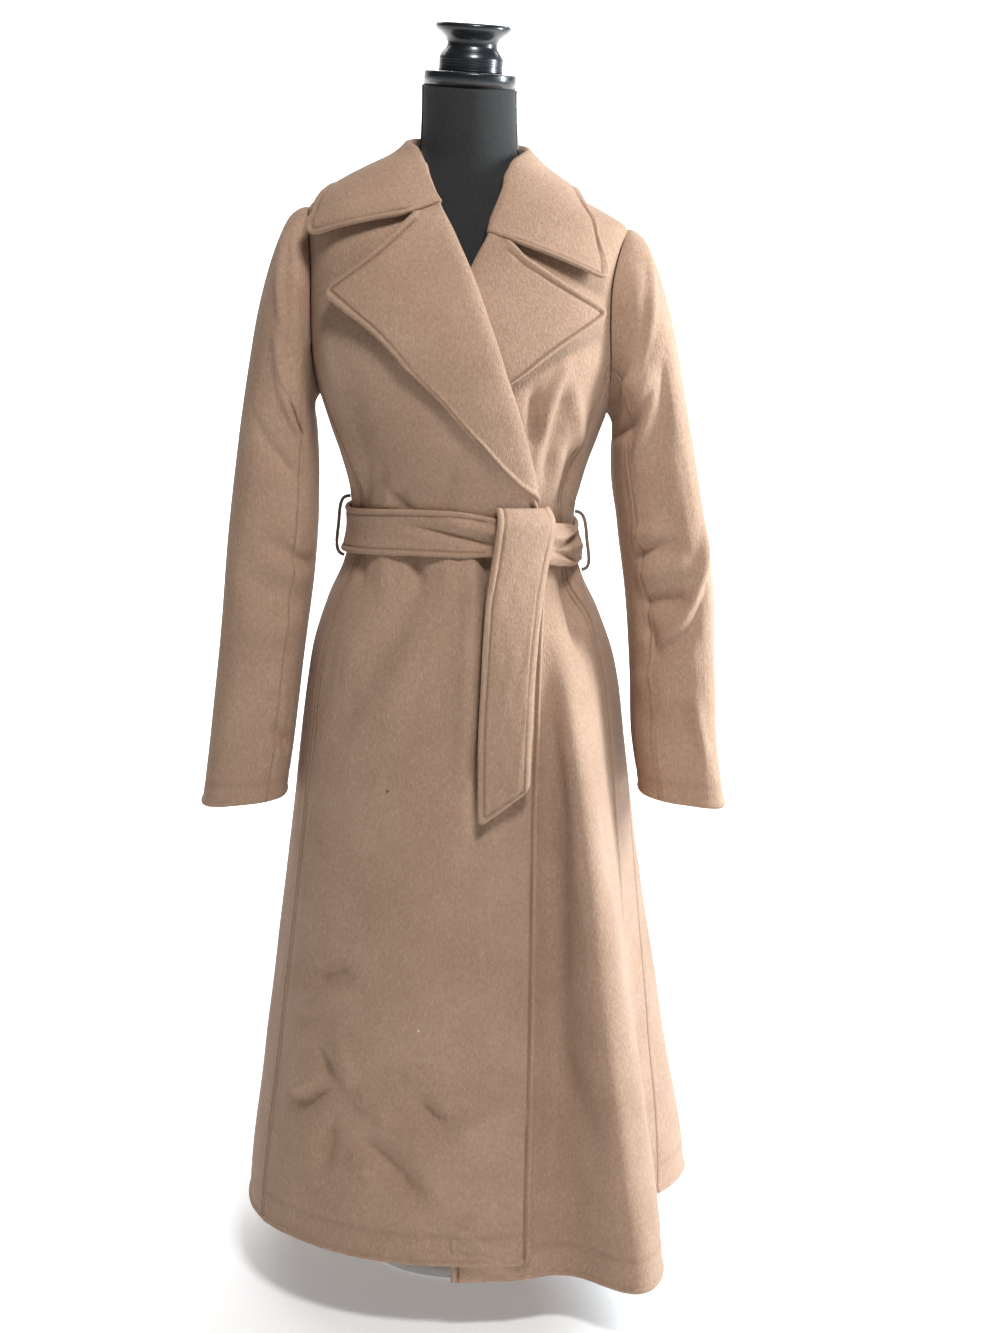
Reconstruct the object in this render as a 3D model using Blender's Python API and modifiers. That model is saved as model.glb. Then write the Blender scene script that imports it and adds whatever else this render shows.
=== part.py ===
"""Belted wrap coat of camel wool on a limbless dress form.

Metres, +Z up. The front of the coat faces -Y and the wearer's left is +X. The origin is the
middle of the foot's underside. Angles around the body are in degrees, from the front towards +X.
"""
import math

import bmesh
import bpy
from mathutils import Vector

# Cloth thicknesses and clearances
CLOTH = 0.0024           # one layer of coating wool
DOUBLED = 0.0044         # collar, lapels and belt are two layers
SEAM_GAP = 0.0003        # between pieces that are sewn edge to edge
LAYER_GAP = 0.0009       # air under the hidden belt end
LAPEL_GAP = 0.0014       # air under the lapels, which are turned back on the fronts
ARMHOLE_GAP = 0.0005     # between a sleeve head and the body that it is sewn on

# The wearer's right is at -X
SIDES = {"right": -1, "left": 1}

# Heights of the coat
HEM_Z = 0.055
WAIST_Z = 0.845
ARMPIT_Z = 0.985
PRINCESS_TOP_Z = 1.050   # the princess seam runs into the armhole here
SHOULDER_Z = 1.185       # outer end of the shoulder seam
NECK_Z = 1.237           # neckline, where the collar is sewn on

# The form stands a little askew, so the upper coat tilts down on the wearer's left
TILT = math.radians(4.0)
TILT_FROM_Z, TILT_FULL_Z = 0.60, 0.85
SWAY = 0.0085            # sideways shift of the neck
SWAY_FROM_Z, SWAY_FULL_Z = 0.86, 1.31

# Armhole, an oval seen from the side
ARMHOLE_FRONT = {"right": 0.036, "left": 0.052}
ARMHOLE_BACK = 0.060

# Belt
BELT_HALF_WIDTH = 0.027
BELT_SIDE_Z, BELT_FRONT_RISE = 0.838, 0.018
BELT_GAP = 0.0022                     # air under the belt
BELT_FRONT_OUT = 0.0048               # further out over the two fronts
FRONTS_BEGIN, FRONTS_END = (-100, -60), (90, 110)     # angles over which it moves out and in again
KNOT_START, KNOT_END = 30.0, 82.0     # angles that the knot covers
KNOT_GAP = 0.3                        # angle left free between the band and the knot
KNOT_HALF_DEPTH, KNOT_HALF_HEIGHT = 0.0062, 0.0248
KNOT_END_SHARE = 0.55                 # height left at the knot's ends
BAND_PINCH, BAND_PINCH_SHARE = 0.25, 0.22     # the band narrows by the first over the second of each half
LOOP_ANGLE = 92.0                     # just behind each side seam
LOOP_RADIUS = 0.0014
LOOP_ROOT = 0.0010                    # its ends' middle line, over the coat's face
LOOP_REACH = 0.0150                   # a loop stands this far off the coat
LOOP_PAST_BELT = 0.007                # and runs this far past each edge of the belt

# Dress form and its stand
FORM_BOTTOM_Z, NECK_TOP_Z = 0.600, 1.3275
NECK_RADIUS = 0.0500
CAP_HEIGHT = 0.0145
POLE_RADIUS = 0.0125
BASE_RADIUS, BASE_HEIGHT = 0.115, 0.014


class Table:
    """Rows of sizes under named columns. The first column is the key."""

    def __init__(self, names, *rows):
        self.rows = rows
        self.columns = {name: [row[i] for row in rows] for i, name in enumerate(names.split())}
        self.keys = [row[0] for row in rows]

    def at(self, key, name):
        """Smooth value of a column between rows, level past the ends and never overshooting."""
        keys, values = self.keys, self.columns[name]
        if key <= keys[0]:
            return values[0]
        if key >= keys[-1]:
            return values[-1]
        i = max(k for k in range(len(keys) - 1) if keys[k] <= key)
        step = keys[i + 1] - keys[i]
        t = (key - keys[i]) / step
        start, end = self.slope(i, values), self.slope(i + 1, values)
        rise = values[i + 1] - values[i]
        return (values[i] + t * t * (3 - 2 * t) * rise
                + step * (t * (1 - t) ** 2 * start - t * t * (1 - t) * end))

    def slope(self, i, values):
        if i == 0 or i == len(values) - 1:
            return 0.0
        before = (values[i] - values[i - 1]) / (self.keys[i] - self.keys[i - 1])
        after = (values[i + 1] - values[i]) / (self.keys[i + 1] - self.keys[i])
        return 0.0 if before * after <= 0 else 2 * before * after / (before + after)


# Inner face of the coat's cloth, a level section a row
BODY = Table("z half_width front back",
             (0.055, 0.247, 0.250, 0.250),
             (0.250, 0.226, 0.222, 0.224),
             (0.450, 0.200, 0.192, 0.198),
             (0.600, 0.182, 0.170, 0.178),
             (0.700, 0.168, 0.153, 0.162),
             (0.760, 0.149, 0.135, 0.140),
             (0.800, 0.131, 0.121, 0.117),
             (0.845, 0.1205, 0.112, 0.099),
             (0.880, 0.123, 0.114, 0.098),
             (0.920, 0.133, 0.123, 0.103),
             (0.960, 0.147, 0.134, 0.109),
             (1.000, 0.160, 0.140, 0.113),
             (1.035, 0.167, 0.140, 0.116),
             (1.080, 0.170, 0.130, 0.117),
             (1.120, 0.172, 0.115, 0.113),
             (1.160, 0.174, 0.098, 0.102),
             (1.185, 0.173, 0.085, 0.089),
             (1.200, 0.150, 0.077, 0.081),
             (1.220, 0.106, 0.065, 0.070),
             (1.237, 0.071, 0.055, 0.061),
             (1.260, 0.058, 0.048, 0.054))

# Largest folds of the skirt, a fold a row: place, spread, depth at the hem, and where it dies out
FOLDS = Table("angle spread depth top",
              (-158, 16, 0.020, 0.68),
              (-138, 12, -0.012, 0.62),
              (-118, 16, 0.016, 0.66),
              (-30, 26, 0.006, 0.70),
              (47, 15, 0.052, 0.80),
              (80, 18, -0.048, 0.72),
              (118, 20, 0.036, 0.72),
              (150, 14, 0.018, 0.66),
              (171, 10, -0.012, 0.60))
FOLD_FADE = 1.4          # power with which a fold shallows from the hem to where it dies out

# The underlap's long fold comes forward: angles of its valley, crest and far side, how far, and the
# heights over which it grows
FORWARD_VALLEY, FORWARD_CREST, FORWARD_END = 25.0, 43.0, 68.0
FORWARD_DEPTH = 0.054
FORWARD_FULL_Z, FORWARD_TOP_Z = 0.45, 0.79

# Front edges, which become the lapels' roll lines above the waist
FRONT_EDGES = Table("z right left",
                    (0.055, 0.074, -0.012),
                    (0.300, 0.078, -0.020),
                    (0.550, 0.080, -0.035),
                    (0.800, 0.086, -0.055),
                    (0.895, 0.078, -0.066),
                    (0.964, 0.064, -0.058),
                    (1.008, 0.051, -0.044),
                    (1.068, 0.030, -0.022),
                    (1.095, 0.020, -0.014),
                    (1.135, 0.004, 0.003),
                    (1.170, -0.013, 0.019),
                    (1.201, -0.028, 0.032),
                    (1.227, -0.039, 0.044),
                    (1.237, -0.045, 0.055))

# Angles of the princess seams, and how far the wrapped-over front stands off
SEAMS = Table("z right left lift",
              (0.055, 65.0, 65.0, 0.0044),
              (0.700, 65.0, 65.0, 0.0044),
              (0.845, 62.0, 62.0, 0.0044),
              (0.895, 60.0, 60.0, 0.0060),
              (0.930, 61.0, 60.2, 0.0110),
              (0.955, 62.5, 60.5, 0.0125),
              (1.050, 74.0, 67.6, 0.0130),
              (1.237, 74.0, 67.6, 0.0100))

# The wrapped-over front is shorter than the rest: how far its hem, and the next one, rise
HEM_RISE = Table("angle rise",
                 (-180, 0.000),
                 (-120, 0.004),
                 (-90, 0.006),
                 (-66, 0.014),
                 (-40, 0.021),
                 (0, 0.020),
                 (20, 0.018))
HEM_RISE_FADE = 0.45     # the rise dies out this far above the hem

# The wrapped-over front has full lift past the second of these angles, and none before the first
LIFT_FROM, LIFT_FULL = -88, -45

# Height of each level row of the panels, from the hem
ROWS = (0.0, 0.085, 0.175, 0.265, 0.355, 0.445, 0.525, 0.595, 0.655, 0.705, 0.745, 0.775, 0.805,
        0.835, 0.865, 0.895, 0.930, 0.965, 0.995, 1.025, 1.055, 1.085, 1.105, 1.120, 1.130,
        1.147, 1.164, 1.182)
ROW_SLACK = 0.0005       # a row this little above a limit still counts as below it

# A sleeve, a section a row: its outer and inner line, its half depth and how far forward it hangs
SLEEVE = Table("v outer_x outer_z inner_x inner_z half_depth middle_y bow",
               (0.00, 0.173, 1.185, 0.160, 0.985, 0.056, 0.004, 0.000),
               (0.05, 0.193, 1.176, 0.165, 0.973, 0.066, 0.003, 0.000),
               (0.11, 0.205, 1.155, 0.165, 0.960, 0.068, 0.002, 0.000),
               (0.20, 0.220, 1.108, 0.162, 0.940, 0.069, 0.001, 0.002),
               (0.36, 0.238, 1.010, 0.160, 0.905, 0.066, -0.002, 0.006),
               (0.50, 0.250, 0.915, 0.160, 0.862, 0.062, -0.008, 0.012),
               (0.64, 0.262, 0.810, 0.165, 0.790, 0.057, -0.016, 0.016),
               (0.78, 0.272, 0.700, 0.179, 0.690, 0.052, -0.028, 0.008),
               (0.91, 0.284, 0.603, 0.190, 0.603, 0.047, -0.040, 0.000),
               (1.00, 0.292, 0.543, 0.198, 0.553, 0.045, -0.046, 0.000))
SLEEVE_SEAM = 118.0      # angle of both sleeve seams from the outer line
SLEEVE_HALF_GAP = 0.24   # half the gap at those seams, as an angle
SLEEVE_ROWS = 13
SLEEVE_HEAD = 0.06       # share of the length in which it rounds out from the armhole

# Lapels seen from the front: break, gorge, outer corner, how the lower edge bows, and the notch as a
# share of the top edge and how far it rises
LAPELS = {
    "right": {"break_z": 0.893, "gorge_z": 1.197, "corner": (-0.136, 1.098), "bow": (-0.004, 0.020),
              "notch": (0.29, 0.011)},
    "left": {"break_z": 0.930, "gorge_z": 1.171, "corner": (0.146, 1.099), "bow": (0.0, 0.003),
             "notch": (0.18, 0.008)},
}
LAPEL_SPRING = 0.010     # the outer corner stands this far off the front
LAPEL_POINT = 0.12       # share of the length in which it widens from its lower point
LAPEL_POINT_WIDTH = 0.06     # width left at that point, as a share
LAPEL_NOTCH_FADE = 6     # how fast the notch's rise dies out down the lapel

# Collar, a section a row around the neck from the wearer's right: where it is sewn on, the ridge of
# its fold and its outer edge, each at an angle and a height and so far out from the coat's inner face,
# and how far its front edge dips to the notch
COLLAR = Table("u foot_z foot_out ridge_angle ridge_z ridge_out edge_angle edge_z edge_out dip",
               (0.00, 1.2030, 0.0180, -10, 1.1990, 0.0180, -63, 1.152, 0.022, 0.009),
               (0.05, 1.2235, 0.0147, -20, 1.2200, 0.0178, -63, 1.173, 0.019, 0.000),
               (0.10, 1.2400, 0.0130, -36, 1.2400, 0.0175, -64, 1.187, 0.016, 0.000),
               (0.20, 1.2382, 0.0030, -75, 1.2670, 0.0070, -92, 1.203, 0.012, 0.000),
               (0.34, 1.2378, 0.0018, -123, 1.2720, 0.0080, -128, 1.190, 0.011, 0.000),
               (0.50, 1.2378, 0.0018, -180, 1.2740, 0.0080, -180, 1.168, 0.011, 0.000),
               (0.66, 1.2378, 0.0018, -237, 1.2720, 0.0070, -232, 1.192, 0.011, 0.000),
               (0.80, 1.2388, 0.0022, -285, 1.2650, 0.0030, -273, 1.219, 0.009, 0.000),
               (0.90, 1.2408, 0.0035, -324, 1.2410, 0.0080, -307, 1.196, 0.009, 0.000),
               (0.95, 1.2180, 0.0070, -344, 1.2140, 0.0076, -307, 1.168, 0.011, 0.000),
               (1.00, 1.1800, 0.0072, -353, 1.1760, 0.0072, -304, 1.129, 0.012, 0.002))
COLLAR_NOTCH = 0.16          # place of the notch, as a share of the fall
COLLAR_ROUND = 0.003         # the fall bulges out this much half-way down
COLLAR_STAND_SHARE = 0.25    # of the sheet's rows, before the ridge

# Hanging belt end seen from the front, and how far it stands off the skirt's own cloth
BELT_END = Table("z left right out",
                 (0.547, 0.016, 0.066, 0.0145),
                 (0.620, 0.016, 0.067, 0.0145),
                 (0.695, 0.019, 0.070, 0.0150),
                 (0.775, 0.023, 0.076, 0.0165),
                 (0.838, 0.029, 0.083, 0.0228),
                 (0.870, 0.032, 0.087, 0.0228),
                 (0.889, 0.034, 0.088, 0.0180))
BELT_TIP_RISE = 0.040    # the cut end slants up by this much
BELT_TIP_FADE = 4        # how fast that slant dies out up the belt end
BELT_END_TURN = 0.010    # its right edge stands this much further out where it hangs free
BELT_FREE_Z, BELT_HELD_Z = 0.76, 0.84
UNDER_END_LOW_Z, UNDER_END_HIGH_Z = 0.610, 0.818     # the other end, hidden behind this one
UNDER_END_LEFT, UNDER_END_RIGHT = 0.12, 0.86         # shares of its width

# Dress form, a level section a row, whose shoulders carry the coat
FORM = Table("z half_width half_depth",
             (FORM_BOTTOM_Z, 0.128, 0.098),
             (0.660, 0.146, 0.118),
             (0.740, 0.136, 0.110),
             (0.800, 0.115, 0.098),
             (0.845, 0.106, 0.086),
             (0.900, 0.112, 0.088),
             (0.960, 0.128, 0.094),
             (1.020, 0.138, 0.098),
             (1.080, 0.144, 0.094),
             (1.130, 0.151, 0.082),
             (1.165, 0.159, 0.071),
             (1.185, 0.157, 0.064),
             (1.202, 0.1425, 0.058),
             (1.219, 0.1065, 0.054),
             (1.235, 0.0715, 0.051),
             (1.255, 0.0525, 0.0485),
             (NECK_TOP_Z, NECK_RADIUS, 0.048))

# Turned finial, whose top is a plain flat disc: radius and height above the cap
FINIAL_PROFILE = ((0.0, 0.0515), (0.0375, 0.0515), (0.0410, 0.0490), (0.0400, 0.0450), (0.0315, 0.0370),
                  (0.0270, 0.0300), (0.0275, 0.0260), (0.0325, 0.0200), (0.0350, 0.0140), (0.0350, 0.0),
                  (0.0, 0.0))


def blend(value, low, high):
    """0 below low, 1 above high, smooth between."""
    t = min(max((value - low) / (high - low), 0.0), 1.0)
    return t * t * (3 - 2 * t)


def mix(a, b, t):
    return a + (b - a) * t


def lean(point):
    """Tilts and sways a point the way the form stands."""
    x, y, z = point
    angle = TILT * blend(z, TILT_FROM_Z, TILT_FULL_Z)
    sway = SWAY * blend(z, SWAY_FROM_Z, SWAY_FULL_Z)
    return Vector((sway + x * math.cos(angle), y, z - x * math.sin(angle)))


def fold_depth(angle, z):
    """How far the skirt's folds push the cloth out at a place."""
    depth = 0.0
    for place, spread, hem_depth, top in FOLDS.rows:
        away = (angle - place + 180) % 360 - 180
        fade = max(top - z, 0.0) / (top - HEM_Z)
        depth += hem_depth * math.exp(-(away / spread) ** 2) * fade ** FOLD_FADE
    return depth


def forward_fold(angle, z):
    """How far the underlap's long fold comes forward at a place."""
    rise = blend(angle, FORWARD_VALLEY, FORWARD_CREST) * (1 - blend(angle, FORWARD_CREST, FORWARD_END))
    return FORWARD_DEPTH * rise * (1 - blend(z, FORWARD_FULL_Z, FORWARD_TOP_Z))


def ring(angle, z):
    """Point of the coat's inner face, upright."""
    turn = math.radians(angle)
    depth = BODY.at(z, "front" if math.cos(turn) > 0 else "back")
    push = fold_depth(angle, z)
    y = -(depth + push) * math.cos(turn) - forward_fold(angle, z)
    return Vector(((BODY.at(z, "half_width") + push) * math.sin(turn), y, z))


def coat_point(angle, z, out=0.0):
    """Point of the coat moved out along the cloth's normal, leaning as the form does."""
    turn, step = 0.5, 0.002
    around = ring(angle + turn, z) - ring(angle - turn, z)
    upward = ring(angle, z + step) - ring(angle, z - step)
    return lean(ring(angle, z) + around.cross(upward).normalized() * out)


def angle_at(x, z):
    """Angle of the front point that lies at x."""
    return math.degrees(math.asin(max(-1.0, min(1.0, x / BODY.at(z, "half_width")))))


def lift_at(angle, z):
    """How far the wrapped-over front stands off the coat's inner face."""
    return SEAMS.at(z, "lift") * blend(angle, LIFT_FROM, LIFT_FULL)


def armhole_angle(z, half_depth, face):
    """Angle of the armhole's edge at a height, on the front or the back of the coat."""
    middle, half_height = (SHOULDER_Z + ARMPIT_Z) / 2, (SHOULDER_Z - ARMPIT_Z) / 2
    reach = max(1 - ((z - middle) / half_height) ** 2, 0.0)
    away = math.degrees(math.acos(half_depth * math.sqrt(reach) / BODY.at(z, face)))
    return away if face == "front" else 180 - away


def half_gap(z):
    """Half a seam gap, as an angle."""
    return math.degrees(SEAM_GAP / 2 / BODY.at(z, "half_width"))


def material(name, colour, roughness):
    made = bpy.data.materials.new(name)
    made.use_nodes = True
    shader = made.node_tree.nodes["Principled BSDF"]
    shader.inputs["Base Color"].default_value = (*colour, 1.0)
    shader.inputs["Roughness"].default_value = roughness
    shader.inputs["Metallic"].default_value = 0.0
    return made


def add_object(name, data, finish):
    """An object in the part's collection, shaded smooth."""
    made = bpy.data.objects.new(name, data)
    made.data.materials.append(finish)
    parts.objects.link(made)
    if made.type == "MESH":
        data.shade_smooth()
        data.set_sharp_from_angle(angle=math.radians(40))
    return made


def finished_mesh(name, shape):
    """The mesh of a closed shape, faces pointing out."""
    bmesh.ops.recalc_face_normals(shape, faces=shape.faces)
    if shape.calc_volume(signed=True) < 0:
        bmesh.ops.reverse_faces(shape, faces=shape.faces)
    mesh = bpy.data.meshes.new(name)
    shape.to_mesh(mesh)
    shape.free()
    return mesh


def sheet(name, place, across, along, finish):
    """A wall of cloth: a flat slab, extruded from a grid, whose points are laid out by place.

    place(u, v, outer) takes u across and v along, both 0 to 1, and which face the point is on.
    """
    slab = bmesh.new()
    bmesh.ops.create_grid(slab, x_segments=across, y_segments=along, size=1)
    raised = bmesh.ops.extrude_face_region(slab, geom=slab.faces[:], use_keep_orig=True)
    for piece in raised["geom"]:
        if isinstance(piece, bmesh.types.BMVert):
            piece.co.z = 1.0
    for vertex in slab.verts:
        vertex.co = place((vertex.co.x + 1) / 2, (vertex.co.y + 1) / 2, vertex.co.z > 0.5)
    return add_object(name, finished_mesh(name, slab), finish)


def normal_of(place, u, v):
    """Normal of a surface laid out by place(u, v)."""
    step = 0.004
    across = place(u + step, v) - place(u - step, v)
    along = place(u, v + step) - place(u, v - step)
    return across.cross(along).normalized()


def panel(name, start, end, rows, across, finish, out=None, rise=None):
    """A body panel between two edges, each given as the angle at a height."""
    def place(u, v, outer):
        row = rows[round(v * (len(rows) - 1))]
        z = HEM_Z + row
        angle = mix(start(z) + half_gap(z), end(z) - half_gap(z), u)
        stand_off = out(angle, z) if out else 0.0
        if rise:
            z += rise(angle) * max(1 - row / HEM_RISE_FADE, 0.0) ** 2
        return coat_point(angle, z, stand_off + (CLOTH if outer else 0.0))
    return sheet(name, place, across, len(rows) - 1, finish)


def rows_up_to(z):
    return [row for row in ROWS if HEM_Z + row <= z + ROW_SLACK]


def front_end(z, half):
    """Where a centre front ends: princess seam, then armhole, then shoulder seam."""
    if z <= PRINCESS_TOP_Z + ROW_SLACK:
        return SEAMS.at(z, half)
    if z < SHOULDER_Z:
        return armhole_angle(z, ARMHOLE_FRONT[half], "front")
    return 90.0


def side_end(z, half):
    """Where a side front ends: side seam, then armhole."""
    return 90.0 if z < ARMPIT_Z else armhole_angle(z, ARMHOLE_FRONT[half], "front")


def back_end(z):
    """Where the back ends: side seam, then armhole, then shoulder seam."""
    if ARMPIT_Z < z < SHOULDER_Z:
        return armhole_angle(z, ARMHOLE_BACK, "back")
    return 90.0


def hem_rise(angle):
    """How far the hem rises, which only the wearer's right half does."""
    away = angle - 360 if angle > 180 else angle
    return HEM_RISE.at(away, "rise")


def coat_body(finish):
    """Fronts, side fronts and the two halves of the back."""
    all_rows = rows_up_to(NECK_Z)
    side_rows = rows_up_to(PRINCESS_TOP_Z)
    panel("front_right", lambda z: -front_end(z, "right"),
          lambda z: angle_at(FRONT_EDGES.at(z, "right"), z), all_rows, 8, finish, out=lift_at, rise=hem_rise)
    panel("front_left", lambda z: angle_at(FRONT_EDGES.at(z, "left"), z),
          lambda z: front_end(z, "left"), all_rows, 10, finish)
    panel("side_front_right", lambda z: -side_end(z, "right"), lambda z: -SEAMS.at(z, "right"),
          side_rows, 3, finish, out=lift_at, rise=hem_rise)
    panel("side_front_left", lambda z: SEAMS.at(z, "left"), lambda z: side_end(z, "left"),
          side_rows, 3, finish)
    panel("back_right", lambda z: 180.0, lambda z: 360 - back_end(z), all_rows, 8, finish, rise=hem_rise)
    panel("back_left", back_end, lambda z: 180.0, all_rows, 8, finish)


def sleeve_point(turn, v, half):
    """Outer face of a sleeve. turn is the angle from its outer line towards the front."""
    outer = Vector((SLEEVE.at(v, "outer_x"), 0, SLEEVE.at(v, "outer_z")))
    inner = Vector((SLEEVE.at(v, "inner_x"), 0, SLEEVE.at(v, "inner_z")))
    bow = SLEEVE.at(v, "bow") if half == "left" else 0.0
    middle = (outer + inner) / 2 + Vector((bow, SLEEVE.at(v, "middle_y"), 0))
    swing = math.radians(turn)
    point = middle + (outer - inner) / 2 * math.cos(swing)
    point.y -= SLEEVE.at(v, "half_depth") * math.sin(swing)
    return lean((point.x * SIDES[half], point.y, point.z))


def armhole_point(turn, half):
    """Edge of the armhole, on the outer face of the body."""
    swing = math.radians(turn)
    middle, half_height = (SHOULDER_Z + ARMPIT_Z) / 2, (SHOULDER_Z - ARMPIT_Z) / 2
    z = middle + half_height * math.cos(swing)
    if math.sin(swing) > 0:
        angle = armhole_angle(z, ARMHOLE_FRONT[half], "front")
    else:
        angle = armhole_angle(z, ARMHOLE_BACK, "back")
    lift = lift_at(-angle, z) if half == "right" else 0.0
    return coat_point(SIDES[half] * angle, z, lift + CLOTH + ARMHOLE_GAP)


def sleeves(finish):
    """Upper and under sleeve on both sides, from the armhole to the cuff."""
    for half, side in SIDES.items():
        for cut, low, high, across in (("upper", -SLEEVE_SEAM, SLEEVE_SEAM, 10),
                                       ("under", SLEEVE_SEAM, 360 - SLEEVE_SEAM, 6)):
            def face(u, v):
                turn = mix(low + SLEEVE_HALF_GAP, high - SLEEVE_HALF_GAP, u)
                return armhole_point(turn, half).lerp(sleeve_point(turn, v, half), blend(v, 0.0, SLEEVE_HEAD))

            def place(u, v, outer):
                inward = 0.0 if outer else -side * CLOTH
                return face(u, v) + normal_of(face, u, max(v, 0.02)) * inward
            sheet(f"sleeve_{cut}_{half}", place, across, SLEEVE_ROWS, finish)


def lapel(name, base_out, finish):
    """A front turned back on itself: from its roll line to its lower edge, widening to the notch."""
    sizes = LAPELS[name]
    corner_x, corner_z = sizes["corner"]
    notch, notch_rise = sizes["notch"]
    start_x = FRONT_EDGES.at(sizes["break_z"], name)

    def place(u, v, outer):
        roll_z = mix(sizes["break_z"], sizes["gorge_z"], v)
        roll_x = FRONT_EDGES.at(roll_z, name)
        bow = 4 * v * (1 - v)
        low_x = mix(start_x, corner_x, v) + bow * sizes["bow"][0]
        low_z = mix(sizes["break_z"], corner_z, v) + bow * sizes["bow"][1]
        across = u * mix(LAPEL_POINT_WIDTH, 1.0, blend(v, 0.0, LAPEL_POINT))
        x, z = mix(roll_x, low_x, across), mix(roll_z, low_z, across)
        z += notch_rise * min(u / notch, (1 - u) / (1 - notch)) * v ** LAPEL_NOTCH_FADE
        angle = angle_at(x, z)
        out = base_out(z) + LAPEL_SPRING * (u * v) ** 2
        return coat_point(angle, z, out + (DOUBLED if outer else 0.0))
    sheet(f"lapel_{name}", place, 8, 13, finish)


def lapels(finish):
    """The wearer's right lapel lies over the left one."""
    lapel("right", lambda z: SEAMS.at(z, "lift") + CLOTH + LAPEL_GAP, finish)
    lapel("left", lambda z: CLOTH + LAPEL_GAP, finish)


def collar_point(u, v):
    """Collar section: up the stand to the ridge, over it, and down the fall to the outer edge."""
    angle, z, out = [COLLAR.at(u, f"ridge_{size}") for size in ("angle", "z", "out")]
    if v < COLLAR_STAND_SHARE:
        down = 1 - v / COLLAR_STAND_SHARE
        z = mix(z, COLLAR.at(u, "foot_z"), down)
        out = mix(out, COLLAR.at(u, "foot_out"), down)
    else:
        down = (v - COLLAR_STAND_SHARE) / (1 - COLLAR_STAND_SHARE)
        angle = mix(angle, COLLAR.at(u, "edge_angle"), down)
        z = mix(z, COLLAR.at(u, "edge_z"), down)
        z -= COLLAR.at(u, "dip") * min(down / COLLAR_NOTCH, (1 - down) / (1 - COLLAR_NOTCH))
        out = mix(out, COLLAR.at(u, "edge_out"), down) + COLLAR_ROUND * 4 * down * (1 - down)
    return coat_point(angle, z, out)


def collar(finish):
    """A stand that is sewn to the neckline, and a fall that lies on the shoulders."""
    def place(u, v, outer):
        return collar_point(u, v) + normal_of(collar_point, u, v) * DOUBLED * (0.5 if outer else -0.5)
    sheet("collar", place, 26, 8, finish)


def belt_z(angle):
    """The belt rides up at the front."""
    return BELT_SIDE_Z + BELT_FRONT_RISE * max(math.cos(math.radians(angle)), 0.0) ** 2


def belt_out(angle):
    """The belt lies on both fronts where they overlap, and on one layer elsewhere."""
    away = (angle + 180) % 360 - 180
    over_fronts = blend(away, *FRONTS_BEGIN) * (1 - blend(away, *FRONTS_END))
    return CLOTH + BELT_GAP + BELT_FRONT_OUT * over_fronts


def belt(finish):
    """Band, knot and both free ends."""
    band_start, band_end = KNOT_END + KNOT_GAP, 360 + KNOT_START - KNOT_GAP

    def band(u, v, outer):
        angle = mix(band_start, band_end, u)
        near_knot = blend(abs(2 * u - 1), 1 - BAND_PINCH_SHARE, 1)
        z = belt_z(angle) + mix(-1, 1, v) * BELT_HALF_WIDTH * (1 - BAND_PINCH * near_knot)
        return coat_point(angle, z, belt_out(angle) + (DOUBLED if outer else 0.0))
    sheet("belt_band", band, 40, 4, finish)

    def knot(u, v):
        angle = mix(KNOT_START, KNOT_END, v)
        swing = math.radians(360 * u)
        fat = mix(KNOT_END_SHARE, 1.0, math.sin(math.pi * v) ** 0.5)
        rise = KNOT_HALF_HEIGHT * fat * math.sin(swing)
        out = belt_out(angle) + KNOT_HALF_DEPTH * (1 - math.cos(swing))
        return coat_point(angle, belt_z(angle) + rise, out)
    tube("belt_knot", knot, 10, 6, finish)

    def end(u, v, outer):
        z = mix(BELT_END.keys[0], BELT_END.keys[-1], v)
        z += BELT_TIP_RISE * u * (1 - v) ** BELT_TIP_FADE
        x = mix(BELT_END.at(z, "left"), BELT_END.at(z, "right"), u)
        out = BELT_END.at(z, "out") + BELT_END_TURN * u * (1 - blend(z, BELT_FREE_Z, BELT_HELD_Z))
        return coat_point(angle_at(x, z), z, out + (DOUBLED if outer else 0.0))
    sheet("belt_end", end, 3, 14, finish)

    def end_under(u, v, outer):
        z = mix(UNDER_END_LOW_Z, UNDER_END_HIGH_Z, v)
        x = mix(BELT_END.at(z, "left"), BELT_END.at(z, "right"), mix(UNDER_END_LEFT, UNDER_END_RIGHT, u))
        out = SEAMS.at(z, "lift") + CLOTH + LAYER_GAP
        return coat_point(angle_at(x, z), z, out + (DOUBLED if outer else 0.0))
    sheet("belt_end_under", end_under, 3, 7, finish)


def tube(name, place, around, along, finish):
    """A closed tube laid out by place(u, v), u around and v along, with flat ends."""
    shape = bmesh.new()
    bmesh.ops.create_grid(shape, x_segments=around, y_segments=along, size=1)
    for vertex in shape.verts:
        vertex.co = place((vertex.co.x + 1) / 2, (vertex.co.y + 1) / 2)
    bmesh.ops.remove_doubles(shape, verts=shape.verts, dist=0.00001)
    bmesh.ops.holes_fill(shape, edges=[edge for edge in shape.edges if edge.is_boundary])
    return add_object(name, finished_mesh(name, shape), finish)


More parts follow.
